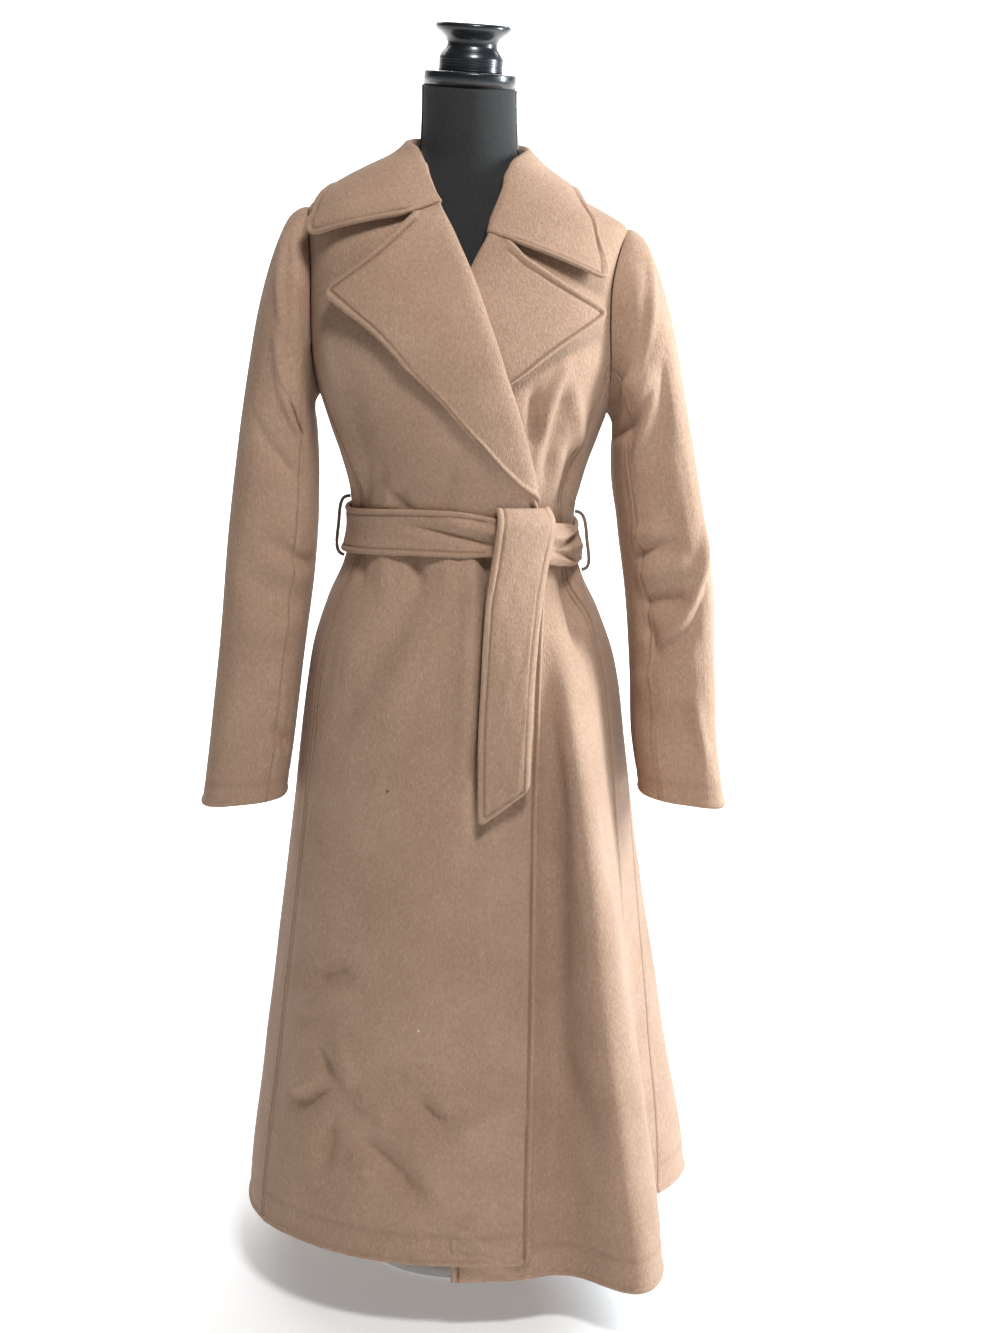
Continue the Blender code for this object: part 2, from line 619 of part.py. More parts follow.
def belt_loops(finish):
    """A thin sewn loop at each side seam, standing off the belt."""
    reach = BELT_HALF_WIDTH + LOOP_PAST_BELT
    for half, side in SIDES.items():
        angle = side * LOOP_ANGLE
        curve = bpy.data.curves.new(f"belt_loop_{half}", "CURVE")
        curve.dimensions = "3D"
        curve.bevel_depth = LOOP_RADIUS
        curve.bevel_resolution = 2
        curve.use_fill_caps = True
        line = curve.splines.new("POLY")
        steps = 8
        line.points.add(steps)
        for i in range(steps + 1):
            swing = math.pi * i / steps
            out = CLOTH + LOOP_ROOT + LOOP_REACH * math.sin(swing) ** 0.6
            point = coat_point(angle, belt_z(angle) + reach * math.cos(swing), out)
            line.points[i].co = (*point, 1.0)
        add_object(f"belt_loop_{half}", curve, finish)


def form_body(finish):
    """Torso and neck of the dress form, closed below and above."""
    steps = len(FORM.keys) - 1

    def place(u, v):
        step = min(int(v * steps), steps - 1)
        z = mix(FORM.keys[step], FORM.keys[step + 1], v * steps - step)
        swing = math.radians(360 * u)
        x, y = FORM.at(z, "half_width") * math.cos(swing), FORM.at(z, "half_depth") * math.sin(swing)
        return lean((x, y, z))
    tube("form_body", place, 24, 2 * steps, finish)


def turned(name, profile, steps, finish, parent):
    """A profile of (radius, height) points turned about Z, listed from the top of its outer side down."""
    mesh = bpy.data.meshes.new(name)
    mesh.from_pydata([(radius, 0, z) for radius, z in profile],
                     [(i, i + 1) for i in range(len(profile) - 1)], [])
    made = add_object(name, mesh, finish)
    turn = made.modifiers.new("turn", "SCREW")
    turn.steps = steps
    turn.render_steps = steps
    turn.use_merge_vertices = True
    turn.merge_threshold = 0.00001
    made.parent = parent
    return made


def neck_top(finish):
    """Disc and turned finial on the neck, which lean with it."""
    holder = bpy.data.objects.new("neck_top", None)
    holder.location = lean((0, 0, NECK_TOP_Z + SEAM_GAP))
    holder.rotation_euler = (0, TILT, 0)
    parts.objects.link(holder)
    round_off = 0.0015
    turned("neck_cap", ((0, CAP_HEIGHT), (NECK_RADIUS - round_off, CAP_HEIGHT),
                        (NECK_RADIUS, CAP_HEIGHT - round_off), (NECK_RADIUS, 0), (0, 0)), 28, finish, holder)
    finial = turned("finial", FINIAL_PROFILE, 24, finish, holder)
    finial.location = (0, 0, CAP_HEIGHT + SEAM_GAP)


def stand(finish):
    """Round foot and pole under the form."""
    round_off = 0.004
    turned("base", ((0, BASE_HEIGHT), (BASE_RADIUS - round_off, BASE_HEIGHT),
                    (BASE_RADIUS, BASE_HEIGHT - round_off), (BASE_RADIUS, 0), (0, 0)), 32, finish, None)
    length = FORM_BOTTOM_Z - BASE_HEIGHT - 2 * SEAM_GAP
    turned("pole", ((0, length), (POLE_RADIUS, length), (POLE_RADIUS, 0), (0, 0)), 16, finish, None)
    bpy.data.objects["pole"].location = (0, 0, BASE_HEIGHT + SEAM_GAP)


for old in list(bpy.data.objects):
    bpy.data.objects.remove(old)
parts = bpy.data.collections.new("wrap_coat_on_dress_form")
bpy.context.scene.collection.children.link(parts)

wool = material("camel_wool", (0.36, 0.23, 0.155), 0.9)
thread = material("loop_cord", (0.12, 0.08, 0.06), 0.9)
jersey = material("form_jersey", (0.035, 0.036, 0.036), 0.85)
black = material("black_lacquer", (0.012, 0.014, 0.018), 0.25)
steel = material("white_steel", (0.75, 0.75, 0.75), 0.45)

coat_body(wool)
sleeves(wool)
lapels(wool)
collar(wool)
belt(wool)
belt_loops(thread)
form_body(jersey)
neck_top(black)
stand(steel)
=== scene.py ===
"""Looks of a belted wrap coat of camel wool on a limbless dress form.

Metres, +Z up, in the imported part's frame. The front of the coat faces -Y and the wearer's left is +X.
Angles around the body are in degrees, from the front towards +X. Surfaces take and give numpy arrays.
"""
import math

import bpy
import numpy as np
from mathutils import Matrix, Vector, kdtree


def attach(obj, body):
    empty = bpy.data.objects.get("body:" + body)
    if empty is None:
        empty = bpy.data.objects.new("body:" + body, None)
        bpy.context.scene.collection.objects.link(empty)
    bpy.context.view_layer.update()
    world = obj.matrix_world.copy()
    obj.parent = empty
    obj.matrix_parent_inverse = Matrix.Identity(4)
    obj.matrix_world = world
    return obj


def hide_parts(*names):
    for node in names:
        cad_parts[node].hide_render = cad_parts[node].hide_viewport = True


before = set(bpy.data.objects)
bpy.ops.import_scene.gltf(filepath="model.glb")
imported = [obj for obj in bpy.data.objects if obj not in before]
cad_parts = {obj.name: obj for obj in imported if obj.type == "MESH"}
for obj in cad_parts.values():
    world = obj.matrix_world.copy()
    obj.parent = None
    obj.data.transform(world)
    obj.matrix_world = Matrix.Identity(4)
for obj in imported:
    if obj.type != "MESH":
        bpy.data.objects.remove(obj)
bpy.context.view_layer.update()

# Cloth thicknesses and the air between layers
CLOTH = 0.0024           # one layer of coating wool
DOUBLED = 0.0044         # collar, lapels and belt are two layers
LAYER_GAP = 0.0009
LAPEL_GAP = 0.0014
ARMHOLE_GAP = 0.0005

# The wearer's right is at -X
SIDES = {"right": -1, "left": 1}

# Heights of the coat
HEM_Z = 0.055
ARMPIT_Z = 0.985
PRINCESS_TOP_Z = 1.050   # the princess seam runs into the armhole here
PRINCESS_BEND = 0.030    # height in which it turns to follow the armhole
SIDE_FRONT_GAP = 0.0012  # the side front's point stops this far below it
SHOULDER_Z = 1.185       # outer end of the shoulder seam
NECK_Z = 1.237           # neckline, where the collar is sewn on

# The form stands a little askew, so the upper coat tilts down on the wearer's left
TILT = math.radians(4.0)
TILT_FROM_Z, TILT_FULL_Z = 0.60, 0.85
SWAY = 0.0085
SWAY_FROM_Z, SWAY_FULL_Z = 0.86, 1.31

# Armhole, an oval seen from the side, and the rows that are added where it turns at its top and bottom
ARMHOLE_FRONT = {"right": 0.036, "left": 0.052}
ARMHOLE_BACK = 0.060
ARMHOLE_ROWS = np.array((0.0, 0.0004, 0.0012, 0.0025, 0.0045))
ROW_SLACK = 0.00021      # rows closer together than this become one

# Widths that the grids of the body's panels are laid out for
FRONT_RIGHT_WIDTH, FRONT_LEFT_WIDTH, SIDE_FRONT_WIDTH, BACK_WIDTH = 0.30, 0.26, 0.08, 0.27

# Belt
BELT_HALF_WIDTH = 0.027
BELT_WIDTH = 2 * BELT_HALF_WIDTH
BELT_SIDE_Z, BELT_FRONT_RISE = 0.838, 0.018
BELT_GAP = 0.0014
BELT_FRONT_OUT = 0.0048  # it stands off this much more where the fronts overlap
FRONTS_BEGIN, FRONTS_END = (-100, -60), (50, 70)     # angles over which that begins and ends
KNOT_START, KNOT_END = 30.0, 74.0     # angles
KNOT_HALF_DEPTH, KNOT_HALF_HEIGHT = 0.0068, 0.0265
KNOT_END_SHARE = 0.72    # its ends are this share of its height
KNOT_SWELL = 0.5         # power of the sine that swells it towards its middle
KNOT_FACE = (-0.3, 0.5)  # its creases fade in from its back to its face
BAND_PINCH, BAND_PINCH_SHARE = 0.25, 0.22     # it narrows this much at the knot, over this share
LOOP_ANGLE = 92.0
LOOP_RADIUS = 0.0020
LOOP_ROOT = 0.0010
LOOP_REACH = 0.0150
LOOP_BOW = 0.6           # power of the sine that bows it out
LOOP_PAST_BELT = 0.007   # it is sewn on this far above and below the belt

# Dress form and its stand
FORM_BOTTOM_Z, NECK_TOP_Z = 0.600, 1.3275
NECK_RADIUS = 0.0500
PIPING_LOW_Z, PIPING_TOP_GAP = 1.20, 0.001
PIPING_RADIUS, PIPING_SUNK, PIPING_SIDES = 0.0021, 0.0004, 10
CAP_HEIGHT, CAP_EDGE = 0.0145, 0.0015
POLE_RADIUS = 0.0125
BASE_RADIUS, BASE_HEIGHT, BASE_EDGE = 0.115, 0.014, 0.004
EDGE_CUT = 0.3           # the middle of a rounded edge is this share of its radius in from the corner
SEAT_GAP = 0.0003        # between the hard pieces

# Sewing
STITCH_IN = 0.0069       # topstitching runs this far inside a finished edge
HEM_DEPTH = 0.034        # the hems and cuffs are caught this far up
STITCH_STEP, STITCH_LENGTH, STITCH_RADIUS = 0.0036, 0.0027, 0.00032
STITCH_SIDES = 6
STITCH_RINGS = ((-1.0, 0.25), (-0.75, 0.85), (0.0, 1.0), (0.75, 0.85), (1.0, 0.25))  # place, size
STITCH_SPREAD = 1.3      # it lies this much wider than high
STITCH_OUT = 0.4         # its middle is this share of its radius over the cloth
GROOVE_DEPTH, GROOVE_WIDTH = 0.0012, 0.0014
FLAT_GROOVE = 0.5        # share of that depth at an edge that doesn't puff up
PRESS_SHARE = 0.4        # a hem that is caught from the inside shows as a groove this much as deep
LIP_HEIGHT = 0.0016      # the edge outside the stitching puffs up this much on both faces
SEAM_DIP, SEAM_WIDTH = 0.0008, 0.0022     # the cloth dips into the seams between panels
SLEEVE_SEAM_SHARE = 0.25  # the sleeves' seams are pressed flatter
FRONT_PUFF = 1.4         # the fronts' edges and the hems are turned in, so they puff up more
FRONT_CORNER = 0.012     # radius of the wrapped-over front's lower corner
BELT_PUFF = 0.4          # the belt's edges are pressed flatter, to this share
BELT_CORNER = 0.010      # radius of the corners of its end

# Distances of the first grid lines from an edge, close enough for its rounding and its stitching
EDGE_MILLIMETRES = (0, 0.25, 0.7, 1.3, 2.1, 3.1, 4.2, 5.2, 5.9, 6.4, 6.9, 7.4, 7.9, 8.6, 9.8, 11.8)
EDGE_LINES = np.array(EDGE_MILLIMETRES) / 1000
STITCH_LINE = 10         # the one that is STITCH_IN from the edge

# Steps of the grids between those, across a piece and along it, and the rows of the evenly spaced ones
BODY_STEP, BODY_ROW_STEP = 0.005, 0.006
SLEEVE_STEP, SLEEVE_ROW_STEP = 0.004, 0.005
LAPEL_STEP = 0.003
COLLAR_STEP, COLLAR_ROW_STEP = 0.004, 0.003
BELT_END_STEP, BELT_END_ROW_STEP = 0.003, 0.004
BAND_STEP, BAND_ROWS = 0.002, 180
KNOT_ROWS, LOOP_ROWS, FORM_ROWS, PIPING_ROWS = 80, 60, 120, 40
FULL_TURN = np.linspace(0, 2 * math.pi, 97)     # a ring's angles, the last one as the first


class Table:
    """Rows of sizes under named columns. The first column is the key."""

    def __init__(self, names, *rows):
        self.rows = rows
        self.keys = np.array([row[0] for row in rows], float)
        columns = zip(names.split(), zip(*rows))
        self.values = {name: np.array(column, float) for name, column in columns}

    def at(self, key, name):
        """Smooth value of a column between rows, level past the ends and never overshooting."""
        keys, values = self.keys, self.values[name]
        slopes = self.slopes(values)
        key = np.clip(key, keys[0], keys[-1])
        i = np.clip(np.searchsorted(keys, key, side="right") - 1, 0, len(keys) - 2)
        step = keys[i + 1] - keys[i]
        t = (key - keys[i]) / step
        rise = values[i + 1] - values[i]
        return (values[i] + t * t * (3 - 2 * t) * rise
                + step * (t * (1 - t) ** 2 * slopes[i] - t * t * (1 - t) * slopes[i + 1]))

    def slopes(self, values):
        """Slope at each row, level at the ends and where the column turns."""
        steep = np.diff(values) / np.diff(self.keys)
        before, after = steep[:-1], steep[1:]
        same_way = before * after > 0
        total = np.where(same_way, before + after, 1.0)
        return np.concatenate([[0.0], np.where(same_way, 2 * before * after / total, 0.0), [0.0]])


def millimetres(names, *rows):
    """A table whose rows are given in millimetres."""
    return Table(names, *(tuple(size / 1000 for size in row) for row in rows))


# Inner face of the coat's cloth, a level section a row
BODY = Table(
    "z half_width front back",
    (0.055, 0.247, 0.250, 0.250),
    (0.250, 0.226, 0.222, 0.224),
    (0.450, 0.200, 0.192, 0.198),
    (0.600, 0.182, 0.170, 0.178),
    (0.700, 0.168, 0.153, 0.162),
    (0.760, 0.149, 0.135, 0.140),
    (0.800, 0.131, 0.121, 0.117),
    (0.845, 0.1205, 0.112, 0.099),
    (0.880, 0.123, 0.114, 0.098),
    (0.920, 0.133, 0.123, 0.103),
    (0.960, 0.147, 0.134, 0.109),
    (1.000, 0.160, 0.140, 0.113),
    (1.035, 0.167, 0.140, 0.116),
    (1.080, 0.170, 0.130, 0.117),
    (1.120, 0.172, 0.115, 0.113),
    (1.160, 0.174, 0.098, 0.102),
    (1.185, 0.173, 0.085, 0.089),
    (1.200, 0.150, 0.077, 0.081),
    (1.220, 0.106, 0.065, 0.070),
    (1.237, 0.071, 0.055, 0.061),
    (1.260, 0.058, 0.048, 0.054))

# Largest folds of the skirt, a fold a row: place, spread, depth at the hem, and where it dies out
FOLDS = Table(
    "angle spread depth top",
    (-158, 16, 0.020, 0.68),
    (-138, 12, -0.012, 0.62),
    (-118, 16, 0.016, 0.66),
    (-30, 26, 0.006, 0.70),
    (43, 14, 0.052, 0.80),
    (77, 18, -0.048, 0.72),
    (118, 20, 0.036, 0.72),
    (150, 14, 0.018, 0.66),
    (171, 10, -0.012, 0.60))
FOLD_FADE = 1.4          # power with which a fold shallows from the hem to where it dies out

# The underlap's long fold comes forward: angles of its valley, crest and far side, how far, and the
# heights over which it grows
FORWARD_VALLEY, FORWARD_CREST, FORWARD_END = 27.0, 41.0, 64.0
FORWARD_DEPTH = 0.054
FORWARD_FULL_Z, FORWARD_TOP_Z = 0.45, 0.79

# Front edges, which become the lapels' roll lines above the waist
FRONT_EDGES = Table(
    "z right left",
    (0.055, 0.074, -0.012),
    (0.300, 0.078, -0.020),
    (0.550, 0.080, -0.035),
    (0.800, 0.086, -0.055),
    (0.895, 0.078, -0.066),
    (0.964, 0.064, -0.058),
    (1.008, 0.051, -0.044),
    (1.068, 0.030, -0.022),
    (1.095, 0.020, -0.014),
    (1.135, 0.004, 0.003),
    (1.170, -0.013, 0.019),
    (1.201, -0.028, 0.032),
    (1.227, -0.039, 0.044),
    (1.237, -0.045, 0.055))

# Angles of the princess seams, and how far the wrapped-over front stands off
SEAMS = Table(
    "z right left lift",
    (0.055, 65.0, 65.0, 0.0044),
    (0.700, 65.0, 65.0, 0.0052),
    (0.845, 62.0, 62.0, 0.0044),
    (0.895, 60.0, 60.0, 0.0060),
    (0.930, 61.0, 60.2, 0.0110),
    (0.955, 62.5, 60.5, 0.0125),
    (1.050, 74.0, 67.6, 0.0130),
    (1.237, 74.0, 67.6, 0.0100))
LIFT_FROM, LIFT_FULL = -88, -45

# The wrapped-over front is shorter than the rest: how far its hem, and the next one, rise
HEM_RISE = Table(
    "angle rise",
    (-180, 0.000),
    (-120, 0.004),
    (-90, 0.006),
    (-66, 0.014),
    (-40, 0.021),
    (0, 0.020),
    (20, 0.018))
HEM_RISE_FADE = 0.45

# A sleeve, a section a row: its outer and inner line, its half depth and how far forward it hangs
SLEEVE = Table(
    "v outer_x outer_z inner_x inner_z half_depth middle_y bow",
    (0.00, 0.173, 1.185, 0.160, 0.985, 0.056, 0.004, 0.000),
    (0.05, 0.193, 1.176, 0.165, 0.973, 0.066, 0.003, 0.000),
    (0.11, 0.205, 1.155, 0.165, 0.960, 0.068, 0.002, 0.000),
    (0.20, 0.220, 1.108, 0.162, 0.940, 0.069, 0.001, 0.002),
    (0.36, 0.238, 1.010, 0.160, 0.905, 0.066, -0.002, 0.006),
    (0.50, 0.250, 0.915, 0.160, 0.862, 0.062, -0.008, 0.012),
    (0.64, 0.262, 0.810, 0.165, 0.790, 0.057, -0.016, 0.016),
    (0.78, 0.272, 0.700, 0.179, 0.690, 0.052, -0.028, 0.008),
    (0.91, 0.284, 0.603, 0.190, 0.603, 0.047, -0.040, 0.000),
    (1.00, 0.292, 0.543, 0.198, 0.553, 0.045, -0.046, 0.000))
SLEEVE_SEAM = 118.0      # angle of its seams from its outer line
SLEEVE_LENGTH = 0.65     # from the shoulder to the cuff
SLEEVE_QUARTER = 0.078   # a quarter of the way round a sleeve
SLEEVE_FLATNESS = 0.72   # an empty sleeve hangs flatter than an oval, which is 1
SLEEVE_FLAT_SPAN = (0.08, 0.30)
SLEEVE_TURN = {"right": 0.0, "left": 0.014}     # its outer line hangs this far further forward
SLEEVE_TURN_SPAN = (0.10, 0.40)
SLEEVE_SET = 0.06        # share of its length in which it leaves the armhole
SLEEVE_CREASE_FADE = 0.08  # and in which its creases begin

# The two pieces of a sleeve: the angles that they run between, and the width that their grid is laid out for
SLEEVE_CUTS = {
    "upper": (-SLEEVE_SEAM, SLEEVE_SEAM, 0.20),
    "under": (SLEEVE_SEAM, 360 - SLEEVE_SEAM, 0.11),
}

# Lapels seen from the front: break, gorge, outer corner, how the lower edge bows, and the notch as a
# share of the top edge and how far it rises
LAPELS = {
    "right": {"break_z": 0.887, "gorge_z": 1.197, "corner": (-0.136, 1.098), "bow": (-0.004, 0.020),
              "notch": (0.29, 0.011)},
    "left": {"break_z": 0.930, "gorge_z": 1.171, "corner": (0.146, 1.099), "bow": (0.0, 0.003),
             "notch": (0.18, 0.008)},
}
LAPEL_SLANT = 1.2        # width along the cloth against the width seen from the front
LAPEL_SPRING = 0.014     # its outer corner stands off this far
LAPEL_POINT, LAPEL_POINT_WIDTH = 0.12, 0.06     # it widens from its point over this share of its length
LAPEL_NOTCH_FADE = 6
LAPEL_ROLL = 0.014       # the soft roll takes up this much of the lapel's width
LAPEL_CORNER = 0.017     # radius of its outer corner
LAPEL_SEWN_FADE = 0.10   # share of its length in which its top eases to the collar's edge
ROLL_TUCK, ROLL_TUCK_FADE = 0.006, 0.04     # a front stops this far inside its lapel's roll

# Collar, a section a row around the neck from the wearer's right: where it is sewn on, the ridge of
# its fold and its outer edge, each at an angle and a height and so far out from the coat's inner face,
# and how far its front edge dips to the notch
COLLAR = Table(
    "u foot_z foot_out ridge_angle ridge_z ridge_out edge_angle edge_z edge_out dip",
    (0.00, 1.1965, 0.0160, -10, 1.1990, 0.0180, -63, 1.152, 0.0270, 0.009),
    (0.03, 1.2030, 0.0160, -13, 1.2057, 0.0180, -64, 1.168, 0.0235, 0.000),
    (0.06, 1.2165, 0.0155, -20, 1.2197, 0.0180, -63, 1.178, 0.0180, 0.000),
    (0.10, 1.2325, 0.0130, -34, 1.2362, 0.0165, -64, 1.187, 0.0150, 0.000),
    (0.14, 1.2400, 0.0080, -49, 1.2541, 0.0120, -71, 1.194, 0.0115, 0.000),
    (0.17, 1.2402, 0.0045, -60, 1.2643, 0.0090, -81, 1.199, 0.0090, 0.000),
    (0.20, 1.2382, 0.0030, -75, 1.2670, 0.0070, -92, 1.202, 0.0080, 0.000),
    (0.34, 1.2378, 0.0018, -123, 1.2720, 0.0080, -128, 1.190, 0.0080, 0.000),
    (0.50, 1.2378, 0.0018, -180, 1.2740, 0.0080, -180, 1.168, 0.0085, 0.000),
    (0.66, 1.2378, 0.0018, -237, 1.2720, 0.0070, -232, 1.202, 0.0080, 0.000),
    (0.80, 1.2388, 0.0022, -285, 1.2650, 0.0030, -275, 1.216, 0.0080, 0.000),
    (0.84, 1.2404, 0.0020, -311, 1.2545, 0.0050, -296, 1.207, 0.0080, 0.000),
    (0.87, 1.2365, 0.0040, -325, 1.2400, 0.0070, -306, 1.195, 0.0090, 0.000),
    (0.90, 1.2190, 0.0058, -339, 1.2229, 0.0078, -309, 1.182, 0.0100, 0.000),
    (0.94, 1.2010, 0.0060, -348, 1.2048, 0.0075, -306, 1.160, 0.0120, 0.000),
    (0.97, 1.1850, 0.0060, -352, 1.1887, 0.0072, -305, 1.144, 0.0155, 0.000),
    (1.00, 1.1735, 0.0060, -353, 1.1760, 0.0072, -304, 1.129, 0.0180, 0.002))
COLLAR_NOTCH = 0.16      # share of the fall's front edge that the lapel is sewn to
COLLAR_ROUND, COLLAR_SIDE_ROUND = 0.003, 0.009     # how far the fall bows out at its ends and elsewhere
COLLAR_SIDE_FROM, COLLAR_SIDE_FULL = 0.04, 0.18
COLLAR_STAND_SHARE = 0.25  # of the depth, the rest is the fall
COLLAR_LENGTH, COLLAR_DEPTH = 0.58, 0.105     # around the neck, and from foot to edge over the ridge
COLLAR_ROLL = 0.10       # half of the share of the depth in which the ridge bends
COLLAR_SAMPLES = 9       # sections that are averaged there
COLLAR_CORNER = 0.019

# Hanging belt end seen from the front, and how far it stands off the skirt's own cloth
BELT_END = Table(
    "z left right out",
    (0.547, 0.016, 0.066, 0.0145),
    (0.620, 0.016, 0.067, 0.0145),
    (0.695, 0.019, 0.070, 0.0150),
    (0.775, 0.023, 0.076, 0.0165),
    (0.838, 0.029, 0.083, 0.0228),
    (0.870, 0.032, 0.087, 0.0228),
    (0.889, 0.034, 0.088, 0.0180))
BELT_TIP_RISE, BELT_TIP_FADE = 0.040, 4
BELT_END_TURN = 0.010    # its right edge stands this much further out where it hangs free
BELT_FREE_Z, BELT_HELD_Z = 0.76, 0.84
UNDER_END_LOW_Z, UNDER_END_HIGH_Z = 0.610, 0.818
UNDER_END_LEFT, UNDER_END_RIGHT = 0.12, 0.86     # shares of the upper end's width

# Dress form, a level section a row
FORM = Table(
    "z half_width half_depth",
    (FORM_BOTTOM_Z, 0.128, 0.098),
    (0.660, 0.146, 0.118),
    (0.740, 0.136, 0.110),
    (0.800, 0.115, 0.098),
    (0.845, 0.106, 0.086),
    (0.900, 0.112, 0.088),
    (0.960, 0.128, 0.094),
    (1.020, 0.138, 0.098),
    (1.080, 0.144, 0.094),
    (1.130, 0.151, 0.082),
    (1.165, 0.159, 0.071),
    (1.185, 0.157, 0.064),
    (1.202, 0.1425, 0.058),
    (1.219, 0.1065, 0.054),
    (1.235, 0.0715, 0.051),
    (1.255, 0.0525, 0.0485),
    (NECK_TOP_Z, NECK_RADIUS, 0.048))

# Shares of its length in which a crease deepens and dies out, and how soon it does towards the coat's sides
CREASE_GROWS, CREASE_ENDS = (-0.2, 0.3), (0.7, 1.2)
CREASE_TURN = 0.2

# Low unevenness of hanging cloth: waves with their pace across and along and their phase, then its heights
RIPPLES = ((31, 17, 0.4), (-23, 29, 1.9), (12, -37, 3.1), (47, 9, 5.2), (-9, -53, 0.8))
BODY_RIPPLE, SLEEVE_RIPPLE, BELT_RIPPLE = 0.0008, 0.0007, 0.0006
BODY_RIPPLE_PACE, BELT_RIPPLE_PACE = 3, 2
BODY_RIPPLE_FADE = (0.70, 0.84)     # it dies out towards the belt between these heights

# Soft troughs and ridges: both ends, width, depth and bend, in millimetres. On the fronts they are placed
# as seen from the front: gathers over the belt, drapes under the wearer's left lapel, dimples and long
# folds under the belt, and crumples near the hem.
FRONT_CREASES = millimetres(
    "x1 z1 x2 z2 width depth bend",
    (-100, 872, -96, 930, 6, -5.4, 0),
    (-77, 876, -70, 918, 7, 4.2, 0),
    (-52, 878, -86, 928, 6, -5.4, 2),
    (-18, 880, -8, 935, 8, -3.5, 0),
    (-112, 994, -98, 917, 12, -3.8, 2),
    (-140, 1070, -126, 985, 10, 3.8, -2),
    (75, 1020, 79, 952, 7, -7.4, -1),
    (106, 1042, 80, 944, 6, 6.4, -3),
    (113, 1026, 90, 915, 8.5, -6.7, -3),
    (108, 1040, 127, 945, 6, 4.8, 4),
    (104, 955, 92, 893, 7, 4.8, 1),
    (119, 955, 106, 890, 7, -4.8, 1),
    (129, 945, 117, 888, 6.5, 3.8, 0),
    (-103, 842, -107, 785, 6, -5.4, 0),
    (-79, 842, -80, 770, 9, 3.8, 0),
    (-51, 848, -46, 792, 6.5, -8.3, 0),
    (-15, 848, -12, 760, 10, 3.5, 0),
    (20, 850, 28, 780, 7, -5.1, 0),
    (31, 840, 16, 545, 10, -12.8, 3),
    (12, 835, 2, 590, 12, 9.6, 2),
    (92, 800, 190, 105, 11, 6.4, 0),
    (98, 720, 97, 40, 14, -12, 0),
    (-34, 826, -110, 685, 16, -6.1, 4),
    (-14, 800, -88, 660, 17, 4.2, 4),
    (-108, 680, -142, 622, 13, -4.8, 0),
    (108, 812, 125, 735, 6, -9.3, 1),
    (118, 815, 142, 735, 6, 5.4, 1),
    (-115, 384, -161, 358, 11, -8.3, 2),
    (-123, 361, -171, 325, 9.5, 8, 2),
    (-143, 263, -182, 228, 8, 8.3, 0),
    (-141, 245, -174, 210, 8, -8.6, -2),
    (-135, 301, -115, 250, 7.5, 8, 2),
    (-154, 292, -138, 256, 8, -5.8, 0),
    (-115, 250, -76, 217, 8, 8.3, 3),
    (-110, 199, -39, 124, 10.5, -10.6, 5),
    (-78, 214, -26, 150, 10, 6.7, 4),
    (-117, 175, -94, 153, 8, 7.4, 0),
    (-173, 195, -158, 135, 12, 7.4, 2),
    (-138, 205, -148, 150, 9, -6.7, 0),
    (-58, 280, -12, 234, 9, 6.7, 2),
    (-44, 248, -14, 215, 9, -6.7, 0),
    (10, 280, 53, 256, 15, -8.6, 3),
    (-10, 206, 68, 234, 14, 7.7, 3),
    (-20, 105, 58, 63, 11, 8, 4),
    (-33, 106, -34, 74, 4, -1.9, 0),
    (100, 300, 130, 190, 12, -4.8, 4))
BACK_CREASES = millimetres(
    "x1 z1 x2 z2 width depth bend",
    (-90, 862, -84, 930, 7, -5.1, 1),
    (-58, 862, -62, 918, 8, 4.2, 0),
    (-26, 864, -34, 942, 7, -5.8, 2),
    (30, 862, 24, 925, 7, -4.8, 0),
    (64, 862, 76, 938, 7.5, -5.4, -1),
    (-88, 812, -98, 740, 7.5, -5.8, 1),
    (-44, 812, -36, 750, 8, -6.7, 0),
    (16, 812, 20, 730, 9, 4.5, 1),
    (56, 812, 62, 752, 7, -6.4, 0),
    (-20, 810, -88, 650, 16, -5.4, 4),
    (60, 760, 96, 600, 16, -4.8, -3),
    (70, 1020, 110, 950, 12, -4.8, 3),
    (-74, 1030, -112, 958, 12, -5.1, -3),
    (90, 330, 30, 230, 12, -6.4, 4),
    (110, 310, 50, 205, 11, 5.4, 4),
    (-60, 260, -120, 180, 12, -6.1, -3))

